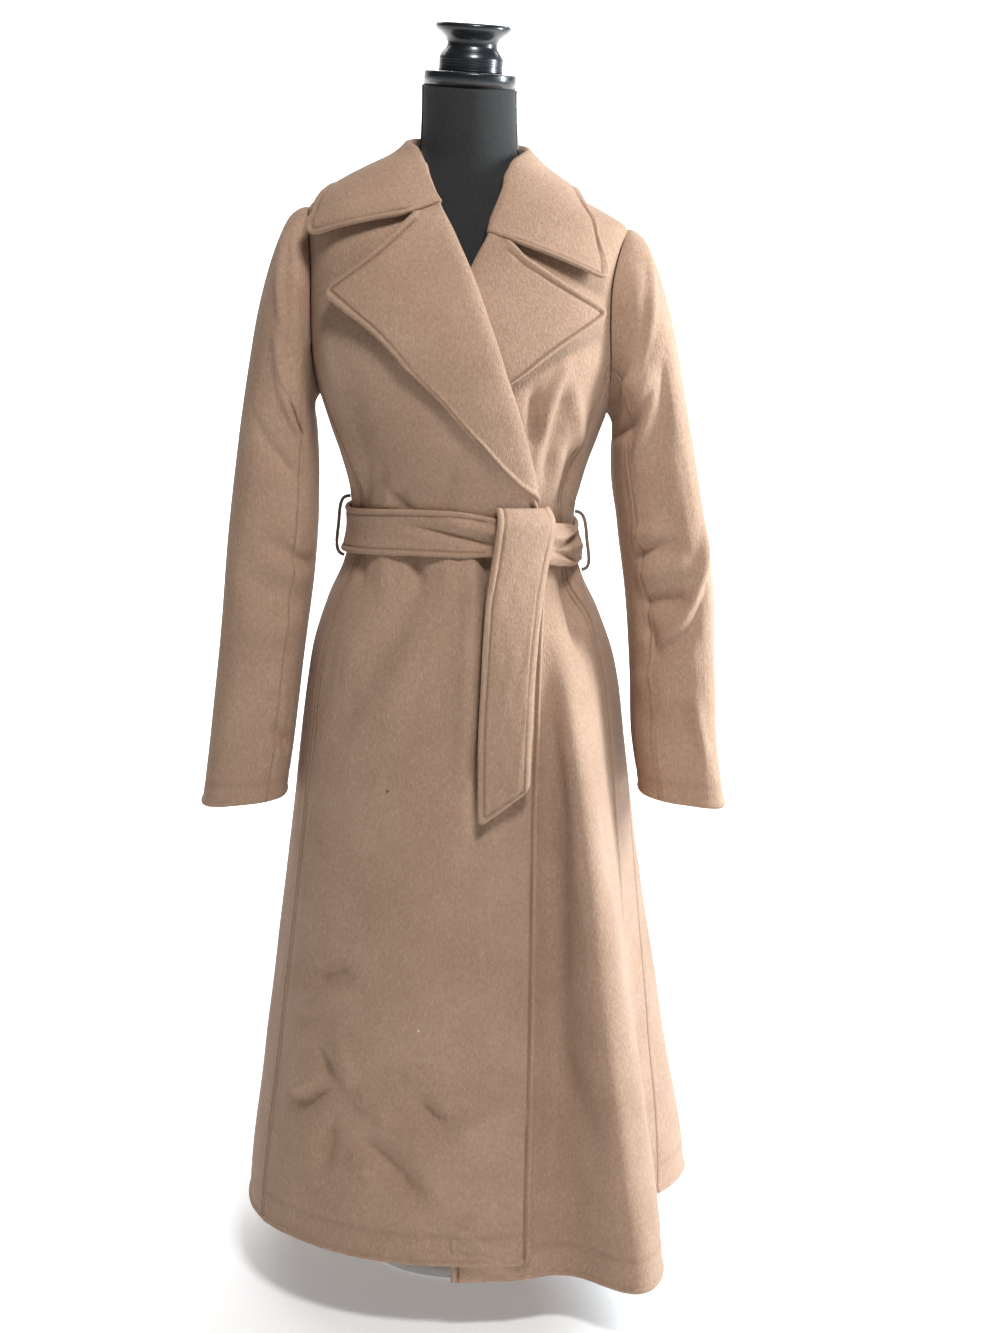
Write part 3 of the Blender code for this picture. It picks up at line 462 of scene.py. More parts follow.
# On a sleeve they are placed around it from its outer line, forwards, and down from the shoulder
SLEEVE_CREASES = {
    "right": millimetres(
        "round1 down1 round2 down2 width depth bend",
        (18, 40, 66, 120, 11, 4.8, 4),
        (66, 130, 92, 212, 9, 6.7, 3),
        (78, 178, 110, 186, 8, -5.8, 0),
        (50, 268, 104, 290, 12, -3.5, 3),
        (80, 390, 140, 404, 8, -6.1, 2),
        (70, 406, 128, 424, 9, 4.2, 2),
        (56, 430, 130, 446, 12, -3.8, 3),
        (60, 478, 118, 462, 12, 3.8, 2),
        (98, 560, 136, 582, 8.5, -5.8, 2),
        (88, 572, 122, 596, 8.5, 3.8, 2),
        (-90, 380, -30, 420, 12, -5.4, 3),
        (-100, 150, -60, 230, 12, -4.8, 3),
        (-110, 470, -50, 510, 12, 4.5, 3)),
    "left": millimetres(
        "round1 down1 round2 down2 width depth bend",
        (20, 38, 62, 110, 11, 4.8, 4),
        (102, 50, 73, 168, 8.5, 9.9, 5),
        (128, 85, 86, 176, 9.5, -11.5, 4),
        (73, 166, 91, 222, 7.5, 5.8, 0),
        (55, 150, 72, 255, 10, -4.5, 2),
        (108, 344, 80, 348, 11, 7, 2),
        (112, 372, 72, 366, 8, -6.4, 3),
        (110, 398, 60, 390, 10, 6.4, 3),
        (112, 430, 66, 428, 9.5, -9.3, 3),
        (24, 366, 92, 474, 7, 10.9, 3),
        (40, 406, 100, 496, 11, -5.4, 3),
        (108, 444, 88, 492, 9, -5.8, 2),
        (132, 522, 58, 484, 12, 5.1, 4),
        (118, 560, 62, 540, 11, -4.2, 3),
        (64, 530, 48, 600, 9, 5.4, 2),
        (-96, 372, -30, 410, 11, -6.1, 3),
        (-100, 140, -64, 236, 12, -5.1, 3),
        (-112, 450, -50, 500, 12, 4.8, 3)),
}
SLEEVE_HEAD, SLEEVE_HEAD_AT, SLEEVE_HEAD_WIDTH = 0.0030, 0.022, 0.013     # fullness where it is set in
SLEEVE_HEAD_TURN = 0.7   # which fades out towards its front and back

# On the belt they are placed along it from the front and up from its middle
BELT_CREASES = millimetres(
    "along1 up1 along2 up2 width depth bend",
    (-54, 8, 40, -11, 5.5, -5.4, 2),
    (-20, 16, 46, 2, 5.5, 4.5, 2),
    (250, 10, 330, -6, 6, -4.2, 2),
    (480, -8, 560, 6, 6, -4.2, 2))
BELT_METRES_PER_DEGREE = 0.0021

# On the knot they are placed along it and up from its middle, both as shares, with their width too
KNOT_CREASES = Table(
    "along1 up1 along2 up2 width depth bend",
    (0.36, -0.20, 0.92, 0.55, 0.13, -0.0054, 0.06),
    (0.36, -0.24, 0.90, -0.80, 0.12, -0.0054, -0.05),
    (0.36, 0.20, 0.80, 0.80, 0.16, 0.0035, 0.04),
    (0.60, -0.10, 1.00, 0.05, 0.18, 0.0035, 0.00),
    (0.42, -0.62, 0.78, -0.95, 0.12, 0.0026, 0.00))

# Top of the hanging belt end, folded over the knot
END_FOLD_HEIGHT, END_FOLD_DEPTH = 0.014, 0.010
END_ROLL_WIDTH, END_ROLL_DEPTH = 0.009, 0.006     # its right and lower edges roll back

# Turned finial, listed from the middle of the top down to the ringed foot: radius and height
FINIAL_TOP = ((0.0, 0.0515), (0.0375, 0.0515), (0.0395, 0.0510), (0.0410, 0.0490), (0.0408, 0.0470),
              (0.0390, 0.0440), (0.0345, 0.0400), (0.0300, 0.0360), (0.0275, 0.0320), (0.0270, 0.0290),
              (0.0280, 0.0255), (0.0310, 0.0215), (0.0338, 0.0175))
FINIAL_FOOT_RADIUS, FINIAL_FOOT_HEIGHT = 0.0350, 0.0140
RING_COUNT, RING_DEPTH, RING_HEIGHT = 4, 0.0007, 0.0010
RING_OFFSET = 0.7        # the first ring is this share of their spacing below the foot's top

# Screen colours of the finishes, in pairs where they are mottled
CAMEL = ((174, 142, 119), (185, 153, 130))
# The last colour on the next line is painted shade, laid into the grooves of the stitching and into the
# seams
CAMEL_SHADE, CAMEL_NAP, CAMEL_GROOVE_SHADE = (132, 102, 84), (222, 198, 179), (120, 92, 74)
THREAD = ((142, 110, 88), (172, 138, 113))
CORD = ((112, 94, 82), (158, 136, 120))
JERSEY = ((31, 31, 31), (45, 45, 45))
LACQUER = ((14, 16, 19), (30, 34, 40))
PAINT = ((236, 236, 235), (214, 213, 211))
DARK_LINT, PALE_LINT = (82, 60, 48), (226, 214, 202)

# Specks of lint caught in the nap of the wrapped-over front: x, z, radius and colour
SPECKS = (
    (-0.077, 0.582, 0.0026, DARK_LINT),
    (-0.156, 0.655, 0.0022, DARK_LINT),
    (-0.045, 0.328, 0.0022, PALE_LINT),
)
# The second strength is how far that painted shade darkens the grooves and seams
SPECK_STRENGTH, GROOVE_SHADE_STRENGTH = 0.7, 0.5

# The photograph's frame and viewpoint
IMAGE_HEIGHT = 1333
FOCAL_PIXELS = 2900
SENSOR = 36.0
CAMERA_PLACE = (0.0415, -3.2, 1.355)
CAMERA_PITCH = 11.8

# The studio: its even light, and the white paper that sweeps up behind
ROOM_LIGHT = 0.08
PAPER_GLOW = 0.25        # light through the paper, which keeps shadows on it pale
PAPER_TONES = ((0.93, 0.93, 0.93, 1), (0.95, 0.95, 0.95, 1))
SWEEP_REACH, SWEEP_BACK, SWEEP_BEND, SWEEP_TOP = 9.0, 5.5, 1.5, 4.0
SWEEP_STEPS = 13
FLOOR_DROP = 0.0005      # the paper is this far below the foot
WHITE = (1.0, 1.0, 1.0)

# Its lights: where each hangs, what it faces, its width and height, its watts and its tint
LIGHTS = {
    "overhead": ((0.45, -1.4, 2.9), (0, 0, 1.0), (0.6, 0.5), 48, WHITE),
    "window": ((1.85, 0.04, 1.3), (0.1, 0, 0.8), (0.3, 1.1), 64, (0.84, 0.94, 1.0)),
    "sweep": ((0, 3.6, 3.4), (0, 5.0, 0), (6.0, 4.0), 420, WHITE),
}


def blend(value, low, high):
    """0 below low, 1 above high, smooth between."""
    t = np.clip((value - low) / (high - low), 0.0, 1.0)
    return t * t * (3 - 2 * t)


def mix(a, b, t):
    """a where t is 0, b where t is 1."""
    return a + (b - a) * t


def unit(vectors):
    """The same vectors, one long."""
    return vectors / np.maximum(np.linalg.norm(vectors, axis=-1, keepdims=True), 1e-12)


def lean(x, y, z):
    """Points tilted and swayed the way the form stands."""
    angle = TILT * blend(z, TILT_FROM_Z, TILT_FULL_Z)
    sway = SWAY * blend(z, SWAY_FROM_Z, SWAY_FULL_Z)
    return np.stack([sway + x * np.cos(angle), y + 0 * x, z - x * np.sin(angle)], axis=-1)


def fold_depth(angle, z):
    """How far the skirt's folds push the cloth out at a place."""
    depth = np.zeros(np.broadcast(angle, z).shape)
    for place, spread, hem_depth, top in FOLDS.rows:
        away = (angle - place + 180) % 360 - 180
        fade = np.maximum(top - z, 0.0) / (top - HEM_Z)
        depth += hem_depth * np.exp(-(away / spread) ** 2) * fade ** FOLD_FADE
    return depth


def forward_fold(angle, z):
    """How far the underlap's long fold comes forward at a place."""
    rise = blend(angle, FORWARD_VALLEY, FORWARD_CREST) * (1 - blend(angle, FORWARD_CREST, FORWARD_END))
    return FORWARD_DEPTH * rise * (1 - blend(z, FORWARD_FULL_Z, FORWARD_TOP_Z))


def ring(angle, z):
    """Points of the coat's inner face, upright."""
    turn = np.radians(angle)
    depth = np.where(np.cos(turn) > 0, BODY.at(z, "front"), BODY.at(z, "back"))
    push = fold_depth(angle, z)
    x = (BODY.at(z, "half_width") + push) * np.sin(turn)
    y = -(depth + push) * np.cos(turn) - forward_fold(angle, z)
    return np.stack([x, y, z + 0 * x], axis=-1)


def coat_point(angle, z, out=0.0):
    """Points of the coat moved out along the cloth's normal, leaning as the form does."""
    turn, step = 0.5, 0.002
    around = ring(angle + turn, z) - ring(angle - turn, z)
    upward = ring(angle, z + step) - ring(angle, z - step)
    moved = ring(angle, z) + unit(np.cross(around, upward)) * np.asarray(out)[..., None]
    return lean(moved[..., 0], moved[..., 1], moved[..., 2])


def angle_at(x, z):
    """Angle of the front point that lies at x."""
    return np.degrees(np.arcsin(np.clip(x / BODY.at(z, "half_width"), -1.0, 1.0)))


def lift_at(angle, z):
    """How far the wrapped-over front stands off the coat's inner face."""
    return SEAMS.at(z, "lift") * blend(angle, LIFT_FROM, LIFT_FULL)


def armhole_angle(z, half_depth, face):
    """Angle of the armhole's edge at a height, on the front or the back of the coat."""
    middle, half_height = (SHOULDER_Z + ARMPIT_Z) / 2, (SHOULDER_Z - ARMPIT_Z) / 2
    reach = np.maximum(1 - ((z - middle) / half_height) ** 2, 0.0)
    away = np.degrees(np.arccos(half_depth * np.sqrt(reach) / BODY.at(z, face)))
    return away if face == "front" else 180 - away


def creases(table, across, along):
    """Sum of soft troughs and ridges, each along a short bent line, at places given in metres."""
    height = np.zeros(np.broadcast(across, along).shape)
    for a1, b1, a2, b2, width, depth, bend in table.rows:
        length = math.hypot(a2 - a1, b2 - b1)
        step = ((a2 - a1) / length, (b2 - b1) / length)
        t = ((across - a1) * step[0] + (along - b1) * step[1]) / length
        aside = (along - b1) * step[0] - (across - a1) * step[1] - bend * 4 * t * (1 - t)
        ends = blend(t, *CREASE_GROWS) * (1 - blend(t, *CREASE_ENDS))
        height += depth * ends * np.exp(-(aside / width) ** 2)
    return height


def ripple(across, along, size):
    """Low unevenness that any hanging cloth has."""
    waves = [np.sin(a * across + b * along + phase) for a, b, phase in RIPPLES]
    return size * sum(waves) / len(waves)


def grid_lines(length, step, dense=(True, True)):
    """Places of grid lines along a length, as shares, close together at the dense ends."""
    low = EDGE_LINES if dense[0] else np.zeros(1)
    high = length - (EDGE_LINES if dense[1] else np.zeros(1))[::-1]
    count = max(2, round((high[0] - low[-1]) / step))
    middle = np.linspace(low[-1], high[0], count + 1)[1:-1]
    return np.concatenate([low, middle, high]) / length


def rounded_corner(from_a, from_b, radius):
    """Moves grid points near the corner where two edges meet, so that it is round."""
    p = np.clip(1 - from_a / radius, 0.0, 1.0)
    q = np.clip(1 - from_b / radius, 0.0, 1.0)
    inside = (p > 0) & (q > 0)
    moved_a = radius * (1 - p * np.sqrt(1 - q * q / 2))
    moved_b = radius * (1 - q * np.sqrt(1 - p * p / 2))
    return np.where(inside, moved_a, from_a), np.where(inside, moved_b, from_b)


def grid_normals(points):
    """Unit normals at the points of a grid."""
    across = np.gradient(points, axis=1)
    along = np.gradient(points, axis=0)
    return unit(np.cross(across, along))


def nearest(values, place):
    """Number of the value that is nearest to a place."""
    return int(np.argmin(np.abs(values - place)))


def whole_row(row, columns):
    """Row and column numbers of all of a grid's row."""
    return np.full(columns, row), np.arange(columns)


def joined(*runs):
    """Row and column numbers of several runs, one after the other."""
    return tuple(np.concatenate(pair) for pair in zip(*runs))


def finer(line, parts=6):
    """A line of points with more points on its straight pieces."""
    steps = np.arange(len(line) * parts - parts + 1) / parts
    i = np.minimum(steps.astype(int), len(line) - 2)
    t = (steps - i)[:, None]
    return line[i] * (1 - t) + line[i + 1] * t


def eased(line, reach=3):
    """A line of points whose corners are rounded by averaging each point with its neighbours."""
    padded = np.concatenate([line[:1]] * reach + [line] + [line[-1:]] * reach)
    return sum(padded[i:i + len(line)] for i in range(2 * reach + 1)) / (2 * reach + 1)


def lengths_along(line):
    """Length of a line of points up to each of them."""
    steps = np.linalg.norm(np.diff(line, axis=0), axis=1)
    return np.concatenate([[0], np.cumsum(steps)])


def at_lengths(values, reached, places):
    """What the values at a line's points are at places along it, from the length reached at each point."""
    return np.stack([np.interp(places, reached, values[:, k]) for k in range(3)], axis=1)


def resample(line, shares):
    """Points of a line at shares of its length."""
    reached = lengths_along(line)
    return at_lengths(line, reached, shares * reached[-1])


def distance_to(points, lines):
    """Metres from each point of a grid to the nearest of some lines of points."""
    if not lines:
        return np.full(points.shape[:2], 1.0)
    marks = np.concatenate([finer(line) for line in lines])
    tree = kdtree.KDTree(len(marks))
    for i, mark in enumerate(marks):
        tree.insert(mark, i)
    tree.balance()
    flat = [tree.find(point)[2] for point in points.reshape(-1, 3)]
    return np.array(flat).reshape(points.shape[:2])


def quads(ids):
    """Faces between the neighbours in a grid of point numbers."""
    return np.stack([ids[:-1, :-1], ids[:-1, 1:], ids[1:, 1:], ids[1:, :-1]], axis=-1).reshape(-1, 4)


def closed_quads(ids):
    """Faces around a grid of point numbers whose last column is next to its first."""
    return quads(np.concatenate([ids, ids[:, :1]], axis=1))


def add_mesh(name, points, faces, finish, nodes=()):
    """A smooth mesh object that rides on the part and stands for some of its nodes."""
    mesh = bpy.data.meshes.new(name)
    mesh.from_pydata(points.tolist(), [], faces)
    mesh.shade_smooth()
    mesh.materials.append(finish)
    made = bpy.data.objects.new(name, mesh)
    bpy.context.scene.collection.objects.link(made)
    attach(made, "root")
    if nodes:
        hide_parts(*nodes)
    return made


def shade_attribute(made, name, values):
    """Values at a mesh's points for its material to read."""
    layer = made.data.attributes.new(name, "FLOAT", "POINT")
    layer.data.foreach_set("value", values.astype(np.float32).ravel())


def stitch_mesh(name, paths):
    """Small thread capsules along paths, each a pair of points and normals."""
    turns = np.arange(STITCH_SIDES) * 2 * math.pi / STITCH_SIDES
    size = len(STITCH_RINGS) * STITCH_SIDES
    capsule = closed_quads(np.arange(size).reshape(-1, STITCH_SIDES))
    all_points, all_faces, used = [], [], 0
    for points, normals in paths:
        reached = lengths_along(points)
        count = int(reached[-1] / STITCH_STEP)
        places = (np.arange(count) + 0.5) * STITCH_STEP
        middles = at_lengths(points, reached, places)
        ups = unit(at_lengths(normals, reached, places))
        ahead = unit(at_lengths(np.gradient(points, axis=0), reached, places))
        aside = np.cross(ahead, ups)
        corners = []
        for share, fat in STITCH_RINGS:
            swell = STITCH_RADIUS * fat
            for turn in turns:
                corners.append(middles + ahead * share * STITCH_LENGTH / 2
                               + aside * swell * math.cos(turn) * STITCH_SPREAD
                               + ups * swell * math.sin(turn))
        all_points.append(np.stack(corners, axis=1).reshape(-1, 3))
        starts = used + np.arange(count) * size
        all_faces.append((starts[:, None, None] + capsule).reshape(-1, 4))
        used += count * size
    faces = np.concatenate(all_faces).tolist()
    return add_mesh(name, np.concatenate(all_points), faces, thread_finish)


def cloth(name, points, thickness, facing=1, stitched=(), lips=(), pressed=(), puff=1.0, seam_share=1.0):
    """A wall of cloth about a grid of points on its middle, with stitching along grid lines.

    stitched and pressed hold pairs of row and column numbers: lines of topstitching, and lines that are
    only pressed in. lips are the edges that puff up outside the stitching, by puff times LIP_HEIGHT. The
    other edges are seams, and the cloth dips into them by seam_share of SEAM_DIP.
    """
    normals = grid_normals(points) * facing
    from_rim = distance_to(points, [points[0], points[-1], points[:, 0], points[:, -1]])
    from_stitch = distance_to(points, [eased(points[pair]) for pair in stitched])
    from_press = distance_to(points, [points[pair] for pair in pressed])
    from_lip = distance_to(points, lips)
    half = thickness / 2
    rounding = np.sqrt(1 - (1 - np.clip(from_rim / half, 0, 1)) ** 2)
    groove_and_shade = np.exp(-(from_stitch / GROOVE_WIDTH) ** 2)
    groove_and_shade = np.maximum(groove_and_shade, PRESS_SHARE * np.exp(-(from_press / GROOVE_WIDTH / 2) ** 2))
    lip = np.clip(from_lip / STITCH_IN, 0, 1)
    lip = np.where(from_lip < STITCH_IN, 4 * lip * (1 - lip), 0.0) * LIP_HEIGHT * puff
    seam = seam_share * np.exp(-(from_rim / SEAM_WIDTH) ** 2) * blend(from_lip, SEAM_WIDTH, 2 * SEAM_WIDTH)
    top = half + lip - GROOVE_DEPTH * mix(FLAT_GROOVE, 1.0, puff) * groove_and_shade - SEAM_DIP * seam
    outer = points + normals * (top * rounding)[..., None]
    inner = points - normals * ((half + lip) * rounding)[..., None]
    rows, columns = points.shape[:2]
    inner_count = (rows - 2) * (columns - 2)
    outer_ids = np.arange(rows * columns).reshape(rows, columns)
    inner_ids = outer_ids.copy()
    inner_ids[1:-1, 1:-1] = rows * columns + np.arange(inner_count).reshape(rows - 2, columns - 2)
    outside, inside = quads(outer_ids), quads(inner_ids)
    faces = [outside, inside[:, ::-1]] if facing > 0 else [outside[:, ::-1], inside]
    shell = np.concatenate([outer.reshape(-1, 3), inner[1:-1, 1:-1].reshape(-1, 3)])
    made = add_mesh(name, shell, np.concatenate(faces).tolist(), wool_finish, (name,))
    # Painted shade: the grooves and the seam dips go to the material as a point attribute, which darkens
    # them
    painted_shade = np.maximum(groove_and_shade, seam).ravel()
    shade_attribute(made, "groove_and_shade", np.concatenate([painted_shade, np.zeros(inner_count)]))
    if stitched:
        raised = outer + normals * (STITCH_RADIUS * STITCH_OUT)
        paths = [(eased(raised[pair]), eased(normals[pair])) for pair in stitched]
        stitch_mesh(f"{name}_stitches", paths).parent = made
    return made


def body_relief(angle, z):
    """Creases of the coat's body, and its low unevenness."""
    turn = np.radians(angle)
    x = BODY.at(z, "half_width") * np.sin(turn)
    forward = np.cos(turn)
    height = creases(FRONT_CREASES, x, z) * blend(forward, 0.0, CREASE_TURN)
    height += creases(BACK_CREASES, x, z) * blend(-forward, 0.0, CREASE_TURN)
    uneven = ripple(BODY_RIPPLE_PACE * np.sin(turn), z, BODY_RIPPLE)
    return height + uneven * (1 - blend(z, *BODY_RIPPLE_FADE))


def panel(name, start, end, heights, width, finish_edges, out=None, rise=None, sewn=()):
    """A body panel between two edges, each given as the angle at a height.

    finish_edges are its free edges, and sewn holds the edges that are topstitched, with their heights.
    """
    u, z = np.meshgrid(grid_lines(width, BODY_STEP), heights)
    if "end" in finish_edges:
        from_edge, from_hem = rounded_corner((1 - u) * width, z - HEM_Z, FRONT_CORNER)
        u, z = 1 - from_edge / width, HEM_Z + from_hem
    angle = mix(start(z), end(z), u)
    stand_off = out(angle, z) if out else 0.0
    relief = body_relief(angle, z)
    if rise:
        z = z + rise(angle) * np.maximum(1 - (z - HEM_Z) / HEM_RISE_FADE, 0.0) ** 2
    points = coat_point(angle, z, stand_off + CLOTH / 2 + relief)
    edges = {"start": points[:, 0], "end": points[:, -1], "hem": points[0]}
    lips = [edges[edge] for edge in finish_edges]
    columns = points.shape[1]
    stitched = []
    for edge, low, high in sewn:
        inside = np.flatnonzero((heights >= low) & (heights <= high))
        column = STITCH_LINE if edge == "start" else columns - 1 - STITCH_LINE
        stitched.append((inside, np.full(len(inside), column)))
    hem = whole_row(nearest(heights - HEM_Z, HEM_DEPTH), columns)
    return cloth(name, points, CLOTH, 1, stitched, lips, [hem], FRONT_PUFF)


def panel_heights(top):
    """Rows of a panel, closer together at the hem and where the armhole turns."""
    even = HEM_Z + grid_lines(top - HEM_Z, BODY_ROW_STEP, (True, False)) * (top - HEM_Z)
    rows = np.concatenate([even, ARMPIT_Z + ARMHOLE_ROWS, SHOULDER_Z - ARMHOLE_ROWS])
    rows = np.unique(np.round(rows[rows <= top], 4))
    return rows[np.concatenate([[True], np.diff(rows) > ROW_SLACK])]


def front_end(z, half):
    """Where a centre front ends: princess seam, then armhole, then shoulder seam."""
    at_armhole = armhole_angle(z, ARMHOLE_FRONT[half], "front")
    seam = mix(SEAMS.at(z, half), at_armhole, blend(z, PRINCESS_TOP_Z - PRINCESS_BEND, PRINCESS_TOP_Z))
    return np.where(z <= PRINCESS_TOP_Z, seam, np.where(z < SHOULDER_Z, at_armhole, 90.0))


def side_end(z, half):
    """Where a side front ends: side seam, then armhole."""
    return np.where(z < ARMPIT_Z, 90.0, armhole_angle(z, ARMHOLE_FRONT[half], "front"))


def back_end(z):
    """Where the back ends: side seam, then armhole, then shoulder seam."""
    at_armhole = armhole_angle(z, ARMHOLE_BACK, "back")
    return np.where((z > ARMPIT_Z) & (z < SHOULDER_Z), at_armhole, 90.0)


def hem_rise(angle):
    """How far the hem rises, which only the wearer's right half does."""
    return HEM_RISE.at(np.where(angle > 180, angle - 360, angle), "rise")


def centre_back(z):
    """Where the halves of the back meet."""
    return 180.0 + 0 * z


def front_edge(z, half):
    """Angle of a front's free edge, which stops inside the roll above the lapel's break."""
    break_z = LAPELS[half]["break_z"]
    tuck = ROLL_TUCK * blend(z, break_z, break_z + ROLL_TUCK_FADE)
    return angle_at(FRONT_EDGES.at(z, half) + tuck * SIDES[half], z)


def coat_body():
    """Fronts, side fronts and back."""
    tall, low = panel_heights(NECK_Z), panel_heights(PRINCESS_TOP_Z - SIDE_FRONT_GAP)
    edge_span, seam_span = (HEM_Z, LAPELS["right"]["break_z"]), (HEM_Z, PRINCESS_TOP_Z)
    panels = {
        "front_right": (lambda z: -front_end(z, "right"), lambda z: front_edge(z, "right"),
                        tall, FRONT_RIGHT_WIDTH, ("end", "hem"), lift_at, hem_rise,
                        (("end", *edge_span), ("start", *seam_span))),
        "front_left": (lambda z: front_edge(z, "left"), lambda z: front_end(z, "left"),
                       tall, FRONT_LEFT_WIDTH, ("start", "hem"), None, None,
                       (("start", *edge_span), ("end", *seam_span))),
        "side_front_right": (lambda z: -side_end(z, "right"), lambda z: -front_end(z, "right"),
                             low, SIDE_FRONT_WIDTH, ("hem",), lift_at, hem_rise),
        "side_front_left": (lambda z: front_end(z, "left"), lambda z: side_end(z, "left"),
                            low, SIDE_FRONT_WIDTH, ("hem",)),
        "back_right": (centre_back, lambda z: 360 - back_end(z), tall, BACK_WIDTH, ("hem",), None, hem_rise),
        "back_left": (back_end, centre_back, tall, BACK_WIDTH, ("hem",)),
    }
    return {name: panel(name, *sizes) for name, sizes in panels.items()}


def sleeve_point(turn, v, half):
    """Outer face of a sleeve. turn is the angle from its outer line towards the front."""
    swing = np.radians(turn)
    outer_x, inner_x = SLEEVE.at(v, "outer_x"), SLEEVE.at(v, "inner_x")
    outer_z, inner_z = SLEEVE.at(v, "outer_z"), SLEEVE.at(v, "inner_z")
    bow = SLEEVE.at(v, "bow") if half == "left" else 0.0
    flat = mix(1.0, SLEEVE_FLATNESS, blend(v, *SLEEVE_FLAT_SPAN))
    aside = np.sign(np.cos(swing)) * np.abs(np.cos(swing)) ** flat
    forward = np.sign(np.sin(swing)) * np.abs(np.sin(swing)) ** flat
    x = (outer_x + inner_x) / 2 + bow + (outer_x - inner_x) / 2 * aside
    z = (outer_z + inner_z) / 2 + (outer_z - inner_z) / 2 * aside
    y = SLEEVE.at(v, "middle_y") - SLEEVE.at(v, "half_depth") * forward
    y = y - SLEEVE_TURN[half] * blend(v, *SLEEVE_TURN_SPAN) * np.cos(swing)
    return lean(x * SIDES[half], y, z)


def armhole_point(turn, half):
    """Edge of the armhole, on the outer face of the body."""
    swing = np.radians(turn)
    middle, half_height = (SHOULDER_Z + ARMPIT_Z) / 2, (SHOULDER_Z - ARMPIT_Z) / 2
    z = middle + half_height * np.cos(swing)
    angle = np.where(np.sin(swing) > 0, armhole_angle(z, ARMHOLE_FRONT[half], "front"),
                     armhole_angle(z, ARMHOLE_BACK, "back"))
    lift = lift_at(-angle, z) if half == "right" else 0.0
    return coat_point(SIDES[half] * angle, z, lift + CLOTH + ARMHOLE_GAP)


def sleeve(cut, half):
    """Upper or under sleeve on one side, from the armhole to the cuff."""
    low, high, width = SLEEVE_CUTS[cut]
    side = SIDES[half]
    u, v = np.meshgrid(grid_lines(width, SLEEVE_STEP), grid_lines(SLEEVE_LENGTH, SLEEVE_ROW_STEP))
    turn = mix(low, high, u)
    share = blend(v, 0.0, SLEEVE_SET)[..., None]
    face = armhole_point(turn, half) * (1 - share) + sleeve_point(turn, v, half) * share
    forward = (turn + 180) % 360 - 180
    outward, down = np.cos(np.radians(turn)), v * SLEEVE_LENGTH
    relief = creases(SLEEVE_CREASES[half], forward / 90 * SLEEVE_QUARTER, down)
    relief += ripple(outward, down, SLEEVE_RIPPLE)
    relief *= blend(v, 0.0, SLEEVE_CREASE_FADE)
    head = np.exp(-((down - SLEEVE_HEAD_AT) / SLEEVE_HEAD_WIDTH) ** 2)
    relief += SLEEVE_HEAD * head * blend(outward, 0.0, SLEEVE_HEAD_TURN)
    points = face + grid_normals(face) * side * (relief - CLOTH / 2)[..., None]
    cuff = whole_row(nearest(v[:, 0], 1 - HEM_DEPTH / SLEEVE_LENGTH), points.shape[1])
    name = f"sleeve_{cut}_{half}"
    return cloth(name, points, CLOTH, side, (), [points[-1]], [cuff], seam_share=SLEEVE_SEAM_SHARE)


def lapel(name, gorge):
    """A front turned back on itself: from its roll line to its lower edge, widening to the notch.

    gorge is the line of the collar's edge that the lapel's top is sewn to, from the roll to the notch.
    """
    sizes = LAPELS[name]
    corner_x, corner_z = sizes["corner"]
    notch, notch_rise = sizes["notch"]
    start_x = FRONT_EDGES.at(sizes["break_z"], name)
    width = abs(corner_x - FRONT_EDGES.at(sizes["gorge_z"], name)) * LAPEL_SLANT
    length = sizes["gorge_z"] - sizes["break_z"]
    u, v = np.meshgrid(grid_lines(width, LAPEL_STEP), grid_lines(length, LAPEL_STEP))
    from_edge, from_top = rounded_corner((1 - u) * width, (1 - v) * length, LAPEL_CORNER)
    u, v = 1 - from_edge / width, 1 - from_top / length
    roll_z = mix(sizes["break_z"], sizes["gorge_z"], v)
    roll_x = FRONT_EDGES.at(roll_z, name)
    bow = 4 * v * (1 - v)
    low_x = mix(start_x, corner_x, v) + bow * sizes["bow"][0]
    low_z = mix(sizes["break_z"], corner_z, v) + bow * sizes["bow"][1]
    across = u * mix(LAPEL_POINT_WIDTH, 1.0, blend(v, 0.0, LAPEL_POINT))
    x, z = mix(roll_x, low_x, across), mix(roll_z, low_z, across)
    z = z + notch_rise * np.minimum(u / notch, (1 - u) / (1 - notch)) * v ** LAPEL_NOTCH_FADE
    from_roll = np.hypot(x - roll_x, z - roll_z)
    turned_back = 1 - np.clip(from_roll / LAPEL_ROLL, 0, 1)
    lift = SEAMS.at(z, "lift") if name == "right" else 0.0
    base = lift + CLOTH + LAPEL_GAP
    top = base + DOUBLED / 2 + LAPEL_SPRING * (u * v) ** 2
    under = base - LAPEL_GAP - CLOTH / 2
    out = mix(under, top, np.sqrt(1 - turned_back ** 2))
    points = coat_point(angle_at(x, z), z, out)
    at_notch = nearest(u[-1], notch)
    shares = np.clip(u[-1] / notch, 0, 1)
    sewn = resample(gorge, shares) - resample(points[-1, :at_notch + 1], shares)
    past_notch = blend(u[-1], notch, 2 * notch)[:, None]
    points = points + (sewn * (1 - past_notch)) * blend(v, 1 - LAPEL_SEWN_FADE, 1.0)[..., None]
    rows, columns = points.shape[:2]
    inset = columns - 1 - STITCH_LINE
    first, last = STITCH_LINE, rows - 1 - STITCH_LINE
    up_side = (np.arange(first, last + 1), np.full(last + 1 - first, inset))
    over_top = (np.full(inset - at_notch, last), np.arange(inset - 1, at_notch - 1, -1))
    lips = [points[:, -1], points[-1, at_notch:]]
    return cloth(f"lapel_{name}", points, DOUBLED, SIDES[name], [joined(up_side, over_top)], lips)


